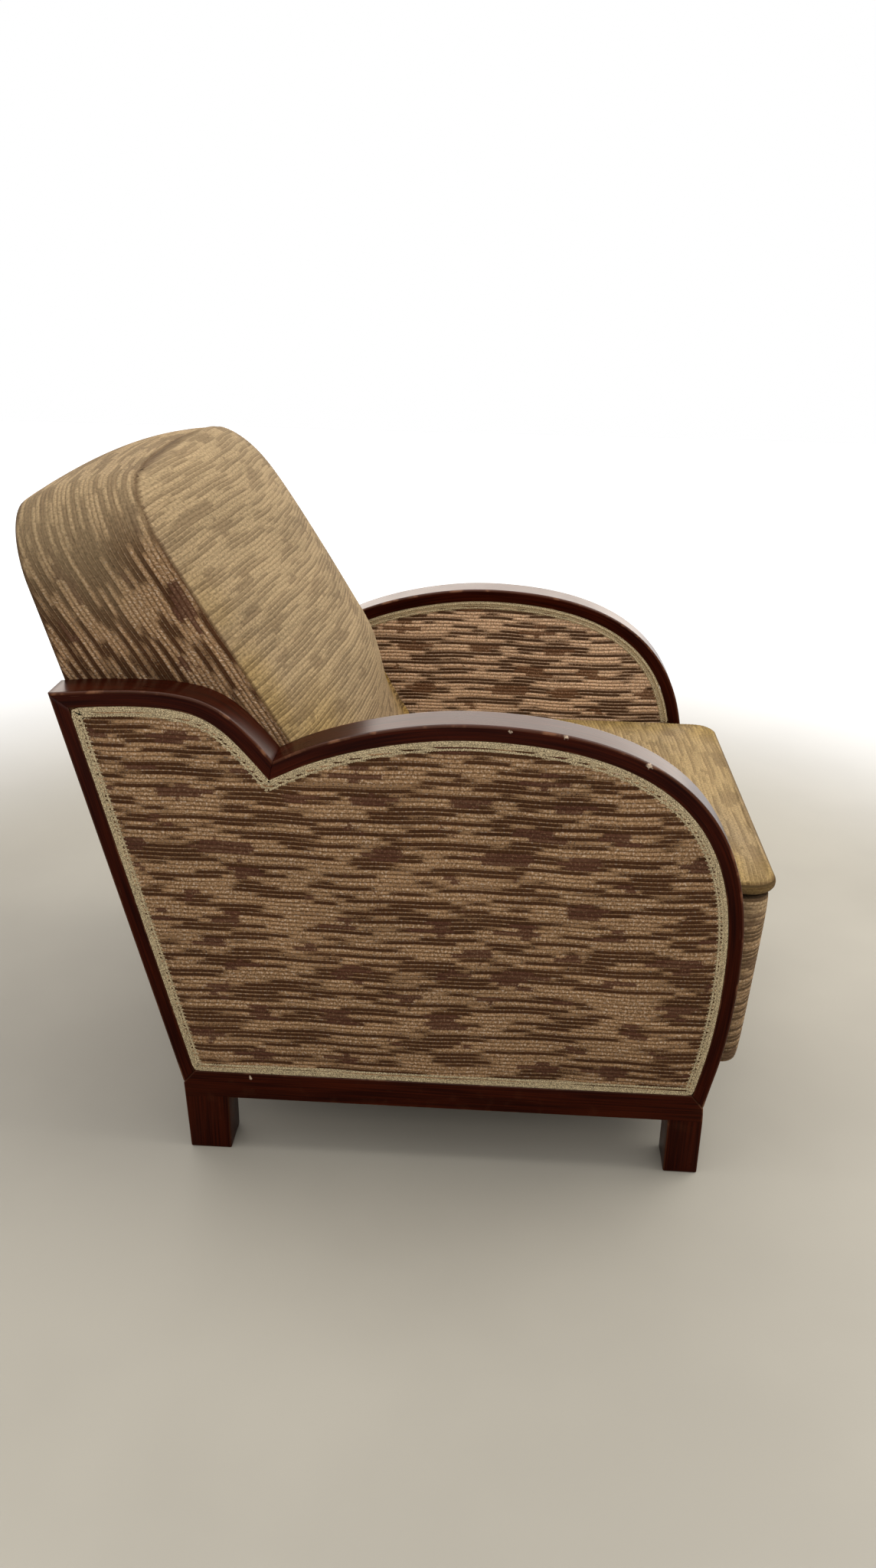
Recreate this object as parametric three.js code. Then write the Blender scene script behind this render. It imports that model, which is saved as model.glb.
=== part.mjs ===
// Low art-deco armchair: two show-wood side frames with padded panels, a sprung seat and a reclined back.
// Millimetres, +Z up. The chair faces -Y, and the sitter's right arm is at -X.
// Pieces are laid out by depth (forwards from the rear shoulder corner) and height above the floor.

import * as THREE from 'three';

// ---------------------------------------------------------------- driving dimensions
const GAP = 0.3;                        // air between touching pieces

const HALF_WIDTH = 334;                 // centre line to an arm's outer face
const ARM_THICKNESS = 51;
const RIM = 18.5;                       // show-wood thickness seen from the side
const ARM_INNER = HALF_WIDTH - ARM_THICKNESS;

const SHOULDER_HEIGHT = 617;            // rear top corner of the side frame
const POST_LEAN = 0.2369;               // depth gained per unit of height lost along the rear post
const NOTCH = [252, 545];               // where the shoulder meets the arm
const ARCH_TOP = [473.7, 597.8];
const ARCH_FRONT = [803.8, 311];
const RAIL_TOP = 118.5;
const RAIL_BOTTOM = 79;
const KNEE_HEIGHT = RAIL_TOP - RIM;     // the rims mitre with the bottom rail here
const KNEE_DEPTH = 780;
const SHOULDER_STEPS = 8;               // straight facets of the shoulder, and of each stretch of the arch
const ARCH_STEPS = [7, 12, 5];

const FRONT_FOOT = { back: 738, front: 781 };
const REAR_FOOT = { backTop: 123.5, backBottom: 127, front: 180 };

const PANEL_THICKNESS = 12;
const PANEL_INSET = 1.5;                // panel face below the rim's face
const BRAID_WIDTH = 13.5;
const BRAID_THICKNESS = 2.2;
const INNER_BRAID_START_DEPTH = 262;    // beside the back, which hides this end
const SEAT_LINE = 392;                  // the inner braid ends here
const BATTENS = {                       // between a side frame's two panels
  front_batten: { back: 640, width: 40, top: 528 },
  rear_batten: { back: 225, width: 40, top: 510 },
};

const SEAT_HALF_WIDTH = 282.2;
const SEAT_TOP = 388;                   // at the pad's edge
const SEAT_CROWN = 16;
const SEAT_CROWN_REACHES = [0.92, 0.75, 0.5, 0.25];   // rings of the crown, as shares of its outline
const SEAT_FRONT = 850.5;               // front of the lip
const SEAT_REAR = 352;
const LIP_THICKNESS = 17;
const LIP_TUCK = { top: 4, bottom: 3, side: 1 };      // how far the lip's edges draw in from its roundest line
const PAD_BOTTOM = 302;
const SEAT_CORNER_RADIUS = 32;
const SEAT_CORNER_STEPS = 6;

const APRON_FRONT = 836;
const APRON_REAR = 775;
const APRON_BOTTOM = 136;
const APRON_WALL = 14;
const APRON_CORNER_RADIUS = 26;

const RAIL_SECTION = 25;                // thickness of the hidden frame's timber
const RAIL_DEPTH = 70;
const SEAT_RAIL_BOTTOM = 145;
const BOX_REAR = 150;                   // the side rails run back to the rear stretcher
const CLOTH_THICKNESS = 1.2;
const COVER_CLEARANCE = 2;
const STRAP_WIDTH = 50;
const STRAP_THICKNESS = 2;
const STRAP_OFFSETS = [-150, 0, 150];
const STRAP_DEPTHS = [455, 575, 695];

const SPRING = {
  wire: 2, height: 147, turns: 4, endRadius: 40, waistRadius: 27, wireSides: 6, stepsPerTurn: 11, seating: 1,
};

const FACE_LEAN = 0.604;                // depth gained per unit of height lost down the back's front seam
const SEAM_BOTTOM = [347, 408];         // front seam's lower end, depth and height
const SEAM_LENGTH = 520;                // along the lean, up to the top seam
const SEAM_CORNER_RADIUS = 86;
const BACK_HALF_WIDTH = 280.5;
const BACK_CROWN = 66;
const LOW_CROWN_SHARE = 0.35;           // the crown is flatter at the seat
const FULL_CROWN_UP = 200;              // and full from this far up the lean
// How the crowned face rises in from its seam: share of the width, share of the length, share of the crown.
const CROWN_PROFILE = [
  [0.985, 1, 0.18], [0.96, 0.995, 0.35], [0.9, 0.975, 0.55], [0.8, 0.93, 0.72], [0.65, 0.85, 0.86],
  [0.45, 0.7, 0.95], [0.25, 0.4, 1],
];
const PLUG_DEPTH = 45;                  // how far the pad reaches back inside the band
const BAND_WALL = 12;
const PLUG_CLEARANCE = 1;
const BACK_CORNER_STEPS = 8;
const REAR_TOP = 806;                   // top of the rear face
const REAR_CORNER_RADIUS = 82;
const UPPER_LEAN = 0.29;                // the rear face leans a little more above the shoulders
const REAR_PANEL_THICKNESS = 8;
const REAR_PANEL_BOTTOM = 122;
const REAR_PANEL_WAIST = 370;
const REAR_CORNER_ROWS = 6;
const REAR_PANEL_INSET = 2;             // the rear panel lies this far inside the posts' rear edges

const UPRIGHT = { across: 235, width: 40, low: 200, high: 700 };
const BACK_TOP_RAIL = { low: 640, high: 695 };
const BACK_BOTTOM_RAIL = { low: 340, high: 400 };
const BACK_STRAP_BOTTOMS = [455, 525, 595];
const BACK_FRAME_CLEARANCE = 14;        // behind the hidden back frame, to the rear panel
const STRETCHER = { low: 125, high: 195, thickness: 16 };

// Depth of the rear face at a height.
function rearDepth(height) {
  const lean = height > SHOULDER_HEIGHT ? UPPER_LEAN : POST_LEAN;
  return lean * (SHOULDER_HEIGHT - height) + REAR_PANEL_INSET;
}

const DEPTH_DATUM = (SEAT_FRONT + rearDepth(REAR_TOP)) / 2;   // depth of the plane Y = 0, midway

// ---------------------------------------------------------------- finishes
const finish = (color, roughness, metalness = 0) =>
  () => new THREE.MeshStandardMaterial({ color, roughness, metalness });
const mahogany = finish(0x35120b, 0.25);
const beech = finish(0x9a7b52, 0.7);
const panelCloth = finish(0x7d6248, 0.95);
const fadedCloth = finish(0xab8e63, 0.95);
const gimp = finish(0x9c8c68, 0.9);
const jute = finish(0x8a7550, 0.95);
const springSteel = finish(0x6b6a68, 0.45, 0.9);
const blackCloth = finish(0x2a2725, 0.95);

const chair = new THREE.Group();

// Names a mesh and hangs it in the chair, or in a nested group of it.
function addPiece(name, geometry, makeMaterial, parent = chair) {
  const mesh = new THREE.Mesh(geometry, makeMaterial());
  mesh.name = name;
  parent.add(mesh);
  return mesh;
}

// A point of the chair from its distance across, its depth and its height.
const at = (across, depth, height) => new THREE.Vector3(across, DEPTH_DATUM - depth, height);

// ---------------------------------------------------------------- closed solids from rings
// Joins equal rings of points into one closed body and closes both ends with a fan.
// Each ring turns anticlockwise when seen from the side that the rings advance towards.
function ringSolid(rings) {
  const count = rings[0].length;
  const points = rings.flat();
  const centreOf = (ring) => ring.reduce((sum, p) => sum.add(p), new THREE.Vector3()).divideScalar(count);
  const firstCentre = points.length;
  points.push(centreOf(rings[0]), centreOf(rings[rings.length - 1]));
  const lastStart = (rings.length - 1) * count;
  const faces = [];
  for (let i = 0; i < count; i++) {
    const next = (i + 1) % count;
    for (let row = 0; row < rings.length - 1; row++) {
      const low = row * count;
      const high = low + count;
      faces.push(low + i, low + next, high + next, low + i, high + next, high + i);
    }
    faces.push(firstCentre, next, i);
    faces.push(firstCentre + 1, lastStart + i, lastStart + next);
  }
  const geometry = new THREE.BufferGeometry().setFromPoints(points);
  geometry.setIndex(faces);
  geometry.computeVertexNormals();
  return geometry;
}

// A box between two corners given as [across, depth, height].
function boxBetween(low, high) {
  const geometry = new THREE.BoxGeometry(high[0] - low[0], high[1] - low[1], high[2] - low[2]);
  geometry.translate((low[0] + high[0]) / 2, DEPTH_DATUM - (low[1] + high[1]) / 2, (low[2] + high[2]) / 2);
  return geometry;
}

// ---------------------------------------------------------------- side outline
const vec = ([x, y]) => new THREE.Vector2(x, y);
const postDepth = (height) => POST_LEAN * (SHOULDER_HEIGHT - height);

// The rim's outer line: up the post, over the shoulder to the notch, over the arm and down to the knee.
function rimLine() {
  const bezier = (...controls) => new THREE.CubicBezierCurve(...controls.map(vec));
  const corner = [0, SHOULDER_HEIGHT];
  const knee = [KNEE_DEPTH, KNEE_HEIGHT];
  const stretches = [
    bezier(corner, [174, 634], [191, 620], NOTCH),
    bezier(NOTCH, [314, 580], [414, ARCH_TOP[1]], ARCH_TOP),
    bezier(ARCH_TOP, [714, ARCH_TOP[1]], [ARCH_FRONT[0], 495], ARCH_FRONT),
    bezier(ARCH_FRONT, [ARCH_FRONT[0], 191], [789, 153], knee),
  ];
  const steps = [SHOULDER_STEPS, ...ARCH_STEPS];
  const points = [vec([postDepth(KNEE_HEIGHT), KNEE_HEIGHT]), vec(corner)];
  stretches.forEach((stretch, i) => points.push(...stretch.getPoints(steps[i]).slice(1)));
  return points;
}

const RIM_LINE = rimLine();
const CORNER_INDEX = 1;
const NOTCH_INDEX = CORNER_INDEX + SHOULDER_STEPS;
const KNEE_INDEX = RIM_LINE.length - 1;

// Moves the closed rim line inwards with mitred corners. Its bottom edge moves up by the same distance.
function inset(distance) {
  const count = RIM_LINE.length;
  return RIM_LINE.map((point, i) => {
    const before = RIM_LINE[(i + count - 1) % count];
    const after = RIM_LINE[(i + 1) % count];
    const inwards = (from, to) => new THREE.Vector2(to.y - from.y, from.x - to.x).normalize();
    const first = inwards(before, point);
    const second = inwards(point, after);
    const mitre = distance / (1 + first.dot(second));
    return first.add(second).multiplyScalar(mitre).add(point);
  });
}

// Outline of one rim piece between two places of the rim line, a hair short at both ends.
function rimStretch(from, to) {
  const outer = inset(0).slice(from, to + 1);
  const inner = inset(RIM).slice(from, to + 1);
  for (const line of [outer, inner]) {
    const last = line.length - 1;
    const startShift = line[1].clone().sub(line[0]).setLength(GAP);
    const endShift = line[last - 1].clone().sub(line[last]).setLength(GAP);
    line[0].add(startShift);
    line[last].add(endShift);
  }
  return [...outer, ...inner.reverse()];
}

// Extrudes an outline drawn in depth and height, between two distances across. A hole turns the other way.
function slab(outline, across, thickness, hole = null) {
  const shape = new THREE.Shape(outline);
  if (hole) shape.holes.push(new THREE.Path(hole.toReversed()));
  const geometry = new THREE.ExtrudeGeometry(shape, { depth: thickness, bevelEnabled: false });
  geometry.translate(0, 0, across);
  return geometry;
}

// ---------------------------------------------------------------- side frames
function bottomRailOutline() {
  const rim = inset(0);
  const opening = inset(RIM);
  const shift = 2 * GAP;
  const top = opening[0].y;
  return [
    vec([postDepth(RAIL_BOTTOM), RAIL_BOTTOM]),
    rim[0].clone().setY(KNEE_HEIGHT - shift),
    vec([opening[0].x + shift, top]),
    vec([opening[KNEE_INDEX].x - shift, top]),
    rim[KNEE_INDEX].clone().setY(KNEE_HEIGHT - shift),
    vec([FRONT_FOOT.front, RAIL_BOTTOM]),
  ];
}

function frontFootOutline() {
  const top = RAIL_BOTTOM - GAP;
  const { back, front } = FRONT_FOOT;
  return [vec([back, 0]), vec([back, top]), vec([front, top]), vec([front, 0])];
}

function rearFootOutline() {
  const top = RAIL_BOTTOM - GAP;
  const { backTop, backBottom, front } = REAR_FOOT;
  return [vec([backBottom, 0]), vec([backTop, top]), vec([front, top]), vec([front, 0])];
}

// The gimp inside runs only where the seat and the back leave the arch bare.
function innerBraidOutline() {
  const bare = (point) => point.x > INNER_BRAID_START_DEPTH && point.y > SEAT_LINE;
  const first = RIM_LINE.findIndex((point, i) => i > NOTCH_INDEX && bare(point));
  const last = RIM_LINE.findLastIndex(bare);
  const outer = inset(RIM + GAP).slice(first, last + 1);
  const inner = inset(RIM + BRAID_WIDTH).slice(first, last + 1);
  return [...outer, ...inner.reverse()];
}

// Builds one side frame. The distances across are measured from the centre line outwards, and the
// extruded faces are laid on the -X side for the right frame and on the +X side for the left one.
function addSideFrame(side, isRight) {
  const frame = new THREE.Group();
  const forwards = new THREE.Vector3(0, -1, 0);
  const upwards = new THREE.Vector3(0, 0, 1);
  const basis = new THREE.Matrix4().makeBasis(forwards, upwards, forwards.clone().cross(upwards));
  frame.quaternion.setFromRotationMatrix(basis);
  frame.position.y = DEPTH_DATUM;
  chair.add(frame);

  const add = (name, outline, nearest, thickness, material, hole = null) => {
    const start = isRight ? nearest : -nearest - thickness;
    addPiece(`${side}_${name}`, slab(outline, start, thickness, hole), material, frame);
  };
  const wood = (name, outline) => add(name, outline, ARM_INNER, ARM_THICKNESS, mahogany);
  wood('arm_arch', rimStretch(NOTCH_INDEX, KNEE_INDEX));
  wood('shoulder_rail', rimStretch(CORNER_INDEX, NOTCH_INDEX));
  wood('rear_post', rimStretch(0, CORNER_INDEX));
  wood('bottom_rail', bottomRailOutline());
  wood('front_foot', frontFootOutline());
  wood('rear_foot', rearFootOutline());

  const opening = inset(RIM + GAP);
  const outerPanel = HALF_WIDTH - PANEL_INSET - PANEL_THICKNESS;
  const innerPanel = ARM_INNER + PANEL_INSET;
  add('outer_panel', opening, outerPanel, PANEL_THICKNESS, panelCloth);
  add('inner_panel', opening, innerPanel, PANEL_THICKNESS, panelCloth);

  const braidHole = inset(RIM + BRAID_WIDTH);
  add('outer_braid', opening, HALF_WIDTH - PANEL_INSET + GAP, BRAID_THICKNESS, gimp, braidHole);
  add('inner_braid', innerBraidOutline(), innerPanel - GAP - BRAID_THICKNESS, BRAID_THICKNESS, gimp);

  const battenStart = innerPanel + PANEL_THICKNESS + GAP;
  const battenThickness = outerPanel - GAP - battenStart;
  for (const [name, { back, width, top }] of Object.entries(BATTENS)) {
    const foot = RAIL_TOP + GAP;
    const outline = [vec([back, foot]), vec([back, top]), vec([back + width, top]), vec([back + width, foot])];
    add(name, outline, battenStart, battenThickness, beech);
  }
}

// ---------------------------------------------------------------- seat
// Rounded rectangle in plan at one height; only the front corners are round.
function seatRing(height, front, halfWidth, rear, cornerRadius) {
  const shape = new THREE.Shape();
  const right = Math.PI;
  shape.moveTo(-halfWidth, -rear);
  shape.lineTo(-halfWidth, -front + cornerRadius);
  shape.absarc(-halfWidth + cornerRadius, -front + cornerRadius, cornerRadius, right, 1.5 * right, false);
  shape.lineTo(halfWidth - cornerRadius, -front);
  shape.absarc(halfWidth - cornerRadius, -front + cornerRadius, cornerRadius, 1.5 * right, 2 * right, false);
  shape.lineTo(halfWidth, -rear);
  return evenlySpaced(shape, SEAT_CORNER_STEPS).map((p) => at(p.x, -p.y, height));
}

// Points of a path: corners of straight stretches, and a fixed number of steps round each arc.
function evenlySpaced(path, arcSteps) {
  const points = [];
  for (const curve of path.curves) {
    const steps = curve.isLineCurve ? 1 : arcSteps;
    points.push(...curve.getPoints(steps).slice(0, -1));
  }
  points.push(path.curves.at(-1).getPoint(1));
  return points;
}

function addSeatPad() {
  const ring = (height, front, halfWidth, rear = SEAT_REAR) =>
    seatRing(height, front, halfWidth, rear, SEAT_CORNER_RADIUS);
  const behindApron = APRON_FRONT - APRON_WALL - GAP;
  const lipBottom = SEAT_TOP - LIP_THICKNESS;
  const bodyHalfWidth = SEAT_HALF_WIDTH - APRON_WALL - GAP;
  const rings = [
    ring(PAD_BOTTOM, behindApron, bodyHalfWidth),
    ring(lipBottom - GAP, behindApron, bodyHalfWidth),
    ring(lipBottom, SEAT_FRONT - LIP_TUCK.bottom, SEAT_HALF_WIDTH - LIP_TUCK.side),
    ring(SEAT_TOP - LIP_THICKNESS / 2, SEAT_FRONT, SEAT_HALF_WIDTH),
    ring(SEAT_TOP, SEAT_FRONT - LIP_TUCK.top, SEAT_HALF_WIDTH - LIP_TUCK.side),
  ];
  const middle = (SEAT_FRONT + SEAT_REAR) / 2;
  const edge = rings.at(-1);
  for (const reach of SEAT_CROWN_REACHES) {
    const rise = SEAT_CROWN * (1 - reach ** 3);
    rings.push(edge.map((p) => p.clone().sub(at(0, middle, SEAT_TOP)).multiplyScalar(reach)
      .add(at(0, middle, SEAT_TOP + rise))));
  }
  addPiece('seat_pad', ringSolid(rings), fadedCloth);
}

// Front wall with a short return round each corner, upright.
function addFrontApron() {
  const outer = seatRing(0, APRON_FRONT, SEAT_HALF_WIDTH, APRON_REAR, APRON_CORNER_RADIUS);
  const inner = seatRing(0, APRON_FRONT - APRON_WALL, SEAT_HALF_WIDTH - APRON_WALL, APRON_REAR,
    APRON_CORNER_RADIUS - APRON_WALL);
  const outline = [...outer, ...inner.reverse()].map((p) => new THREE.Vector2(p.x, p.y));
  const height = SEAT_TOP - LIP_THICKNESS - 2 * GAP - APRON_BOTTOM;
  const geometry = new THREE.ExtrudeGeometry(new THREE.Shape(outline), { depth: height, bevelEnabled: false });
  geometry.translate(0, 0, APRON_BOTTOM);
  addPiece('front_apron', geometry, panelCloth);
}

const SEAT_BOX = {
  halfWidth: SEAT_HALF_WIDTH,
  front: APRON_FRONT - APRON_WALL - GAP,
  rear: SEAT_REAR,
  low: SEAT_RAIL_BOTTOM,
  high: SEAT_RAIL_BOTTOM + RAIL_DEPTH,
};

function addSeatBox() {
  const { halfWidth, front, rear, low, high } = SEAT_BOX;
  const insideApron = APRON_REAR - GAP;
  const frontHalfWidth = halfWidth - APRON_CORNER_RADIUS - GAP;
  const across = halfWidth - RAIL_SECTION - GAP;
  addPiece('seat_front_rail',
    boxBetween([-frontHalfWidth, front - RAIL_SECTION, low], [frontHalfWidth, front, high]), beech);
  addPiece('seat_rear_rail', boxBetween([-across, rear, low], [across, rear + RAIL_SECTION, high]), beech);
  addPiece('seat_left_rail',
    boxBetween([halfWidth - RAIL_SECTION, BOX_REAR, low], [halfWidth, insideApron, high]), beech);
  addPiece('seat_right_rail',
    boxBetween([-halfWidth, BOX_REAR, low], [-halfWidth + RAIL_SECTION, insideApron, high]), beech);
}

// Straps are tacked under the box: the long ones first, then the cross ones under them.
function addSeatWebbing() {
  const longTop = SEAT_BOX.low - GAP;
  const longBottom = longTop - STRAP_THICKNESS;
  const crossTop = longBottom - GAP;
  STRAP_OFFSETS.forEach((offset, i) => {
    const low = [offset - STRAP_WIDTH / 2, SEAT_BOX.rear, longBottom];
    const high = [offset + STRAP_WIDTH / 2, SEAT_BOX.front, longTop];
    addPiece(`seat_webbing_long_${i + 1}`, boxBetween(low, high), jute);
  });
  STRAP_DEPTHS.forEach((depth, i) => {
    const low = [-SEAT_BOX.halfWidth, depth - STRAP_WIDTH / 2, crossTop - STRAP_THICKNESS];
    const high = [SEAT_BOX.halfWidth, depth + STRAP_WIDTH / 2, crossTop];
    addPiece(`seat_webbing_cross_${i + 1}`, boxBetween(low, high), jute);
  });
  return crossTop - STRAP_THICKNESS;
}

// Centre line of a coil spring, narrower at its waist.
class SpringCurve extends THREE.Curve {
  getPoint(t, target = new THREE.Vector3()) {
    const { endRadius, waistRadius, turns, height } = SPRING;
    const radius = waistRadius + (endRadius - waistRadius) * (2 * t - 1) ** 2;
    const angle = 2 * Math.PI * turns * t;
    return target.set(radius * Math.cos(angle), radius * Math.sin(angle), height * t);
  }
}

function addSprings() {
  const { wire, turns, wireSides, stepsPerTurn, seating } = SPRING;
  const section = new THREE.Shape();
  for (let i = 0; i < wireSides; i++) {
    const angle = (2 * Math.PI * i) / wireSides;
    const corner = [wire * Math.cos(angle), wire * Math.sin(angle)];
    if (i === 0) section.moveTo(...corner);
    else section.lineTo(...corner);
  }
  section.closePath();
  const options = { extrudePath: new SpringCurve(), steps: turns * stepsPerTurn, bevelEnabled: false };
  const coil = new THREE.ExtrudeGeometry(section, options);
  const clearOfStrap = wire + seating;
  let number = 1;
  for (const depth of STRAP_DEPTHS) {
    for (const offset of STRAP_OFFSETS) {
      const spring = addPiece(`seat_spring_${number}`, coil, springSteel);
      spring.position.copy(at(offset, depth, SEAT_BOX.low + clearOfStrap));
      number += 1;
    }
  }
}

function addSeatCloths(strapBottom) {
  const coverInset = RAIL_SECTION + COVER_CLEARANCE;
  const coverTop = PAD_BOTTOM - GAP;
  const { halfWidth, front, rear } = SEAT_BOX;
  addPiece('spring_cover', boxBetween(
    [-halfWidth + coverInset, rear, coverTop - CLOTH_THICKNESS],
    [halfWidth - coverInset, front - RAIL_SECTION, coverTop]), jute);
  const dustTop = strapBottom - GAP;
  const dustAcross = halfWidth - APRON_CORNER_RADIUS - GAP;
  addPiece('dust_cover', boxBetween(
    [-dustAcross, BOX_REAR, dustTop - CLOTH_THICKNESS], [dustAcross, front, dustTop]), blackCloth);
}

// ---------------------------------------------------------------- back
const leanScale = Math.hypot(1, FACE_LEAN);
const FACE_UP = [-FACE_LEAN / leanScale, 1 / leanScale];      // up the front face, as depth and height
const FACE_OUT = [1 / leanScale, FACE_LEAN / leanScale];      // out of the front face

// A point of the back's face plane, from its distance across, up the lean and out of the face.
function onFace(across, up, out) {
  const depth = SEAM_BOTTOM[0] + FACE_UP[0] * up + FACE_OUT[0] * out;
  const height = SEAM_BOTTOM[1] + FACE_UP[1] * up + FACE_OUT[1] * out;
  return at(across, depth, height);
}

// An arch in its own plane: up one side, round both top corners and down the other side. Each side has
// one more point where the rear face changes its lean, so that arches of different size match up.
const BEND_SHARE = (SHOULDER_HEIGHT - SEAM_BOTTOM[1]) / (REAR_TOP - REAR_CORNER_RADIUS - SEAM_BOTTOM[1]);
function archLine(halfWidth, bottom, top, radius) {
  const path = new THREE.Path();
  const bend = bottom + (top - radius - bottom) * BEND_SHARE;
  path.moveTo(halfWidth, bottom);
  path.lineTo(halfWidth, bend);
  path.lineTo(halfWidth, top - radius);
  path.absarc(halfWidth - radius, top - radius, radius, 0, Math.PI / 2, false);
  path.lineTo(-halfWidth + radius, top);
  path.absarc(-halfWidth + radius, top - radius, radius, Math.PI / 2, Math.PI, false);
  path.lineTo(-halfWidth, bend);
  path.lineTo(-halfWidth, bottom);
  return evenlySpaced(path, BACK_CORNER_STEPS);
}

function addBackPad() {
  const plugGap = BAND_WALL + PLUG_CLEARANCE;
  const plugHalfWidth = BACK_HALF_WIDTH - plugGap;
  const plugTop = SEAM_LENGTH - plugGap;
  const plug = archLine(plugHalfWidth, 0, plugTop, SEAM_CORNER_RADIUS - BAND_WALL);
  const edge = archLine(BACK_HALF_WIDTH, 0, SEAM_LENGTH, SEAM_CORNER_RADIUS);
  const ring = (line, out) => line.map((p) => onFace(p.x, p.y, out));
  const rings = [ring(plug, -PLUG_DEPTH), ring(plug, 0), ring(edge, GAP)];
  const middle = SEAM_LENGTH / 2;
  const flatterBelow = (up) =>
    THREE.MathUtils.lerp(LOW_CROWN_SHARE, 1, THREE.MathUtils.smoothstep(up, 0, FULL_CROWN_UP));
  for (const [width, length, rise] of CROWN_PROFILE) {
    rings.push(edge.map((p) => {
      const up = middle + (p.y - middle) * length;
      return onFace(p.x * width, up, GAP + BACK_CROWN * rise * flatterBelow(up));
    }));
  }
  addPiece('back_pad', ringSolid(rings), fadedCloth);
}

// Arch-shaped wall between the rear panel and the front seam, open below.
function addBackBand() {
  const front = archLine(BACK_HALF_WIDTH, 0, SEAM_LENGTH, SEAM_CORNER_RADIUS);
  const frontInner = archLine(BACK_HALF_WIDTH - BAND_WALL, 0, SEAM_LENGTH - BAND_WALL,
    SEAM_CORNER_RADIUS - BAND_WALL);
  const bottom = SEAM_BOTTOM[1];
  const rear = archLine(BACK_HALF_WIDTH, bottom, REAR_TOP, REAR_CORNER_RADIUS);
  const rearInner = archLine(BACK_HALF_WIDTH - BAND_WALL, bottom, REAR_TOP - BAND_WALL,
    REAR_CORNER_RADIUS - BAND_WALL);
  const behindPanel = REAR_PANEL_THICKNESS + GAP;
  const rings = front.map((p, i) => [
    onFace(frontInner[i].x, frontInner[i].y, -GAP),
    onFace(p.x, p.y, -GAP),
    at(rear[i].x, rearDepth(rear[i].y) + behindPanel, rear[i].y),
    at(rearInner[i].x, rearDepth(rearInner[i].y) + behindPanel, rearInner[i].y),
  ]);
  addPiece('back_band', ringSolid(rings), panelCloth);
}

// Rear panel from below the stretcher up to the rounded top, in level rows.
function addOuterBack() {
  const cornerStart = REAR_TOP - REAR_CORNER_RADIUS;
  const heights = [REAR_PANEL_BOTTOM, REAR_PANEL_WAIST, SHOULDER_HEIGHT, cornerStart];
  for (let i = 1; i <= REAR_CORNER_ROWS; i++) {
    heights.push(cornerStart + REAR_CORNER_RADIUS * Math.sin((Math.PI / 2) * (i / REAR_CORNER_ROWS)));
  }
  const halfWidth = (height) => {
    const above = Math.max(0, height - cornerStart);
    const pulled = REAR_CORNER_RADIUS - Math.sqrt(Math.max(0, REAR_CORNER_RADIUS ** 2 - above ** 2));
    return BACK_HALF_WIDTH - pulled;
  };
  const rings = heights.map((height) => {
    const half = halfWidth(height);
    const rear = rearDepth(height);
    const front = rear + REAR_PANEL_THICKNESS;
    return [at(half, rear, height), at(-half, rear, height), at(-half, front, height), at(half, front, height)];
  });
  addPiece('outer_back', ringSolid(rings), panelCloth);
}

// A timber lying along the inside of the rear panel between two heights.
function leaningTimber(name, { low, high }, across, width) {
  const lean = Math.atan(POST_LEAN);
  const length = (high - low) / Math.cos(lean);
  const timber = addPiece(name, new THREE.BoxGeometry(width, RAIL_SECTION, length), beech);
  const middle = (low + high) / 2;
  const rear = postDepth(middle) + REAR_PANEL_THICKNESS + BACK_FRAME_CLEARANCE;
  timber.position.copy(at(across, rear + RAIL_SECTION / 2, middle));
  timber.rotation.x = -lean;
}

function addBackFrame() {
  const { across, width } = UPRIGHT;
  const between = 2 * (across - width / 2 - GAP);
  leaningTimber('back_right_upright', UPRIGHT, -across, width);
  leaningTimber('back_left_upright', UPRIGHT, across, width);
  leaningTimber('back_top_rail', BACK_TOP_RAIL, 0, between);
  leaningTimber('back_bottom_rail', BACK_BOTTOM_RAIL, 0, between);
  const lean = Math.atan(POST_LEAN);
  const inFront = (RAIL_SECTION / 2 + GAP + STRAP_THICKNESS / 2) / Math.cos(lean);
  BACK_STRAP_BOTTOMS.forEach((low, i) => {
    const strap = addPiece(`back_webbing_${i + 1}`,
      new THREE.BoxGeometry(2 * across + width, STRAP_THICKNESS, STRAP_WIDTH), jute);
    const middle = low + STRAP_WIDTH / 2;
    const timberMiddle = postDepth(middle) + REAR_PANEL_THICKNESS + BACK_FRAME_CLEARANCE + RAIL_SECTION / 2;
    strap.position.copy(at(0, timberMiddle + inFront, middle));
    strap.rotation.x = -lean;
  });
}

function addRearStretcher() {
  const { low, high, thickness } = STRETCHER;
  const rear = rearDepth(low) + REAR_PANEL_THICKNESS + GAP;
  const across = ARM_INNER - GAP;
  addPiece('rear_stretcher', boxBetween([-across, rear, low], [across, rear + thickness, high]), beech);
}

addSideFrame('right', true);
addSideFrame('left', false);
addSeatPad();
addFrontApron();
addSeatBox();
addSeatCloths(addSeatWebbing());
addSprings();
addBackPad();
addBackBand();
addOuterBack();
addBackFrame();
addRearStretcher();

export default chair;
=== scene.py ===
import math

import bmesh
import bpy
import numpy as np
from bpy.props import FloatProperty, FloatVectorProperty, IntProperty, PointerProperty
from mathutils import Matrix, Vector
from mathutils.bvhtree import BVHTree
from mathutils.geometry import delaunay_2d_cdt


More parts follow.
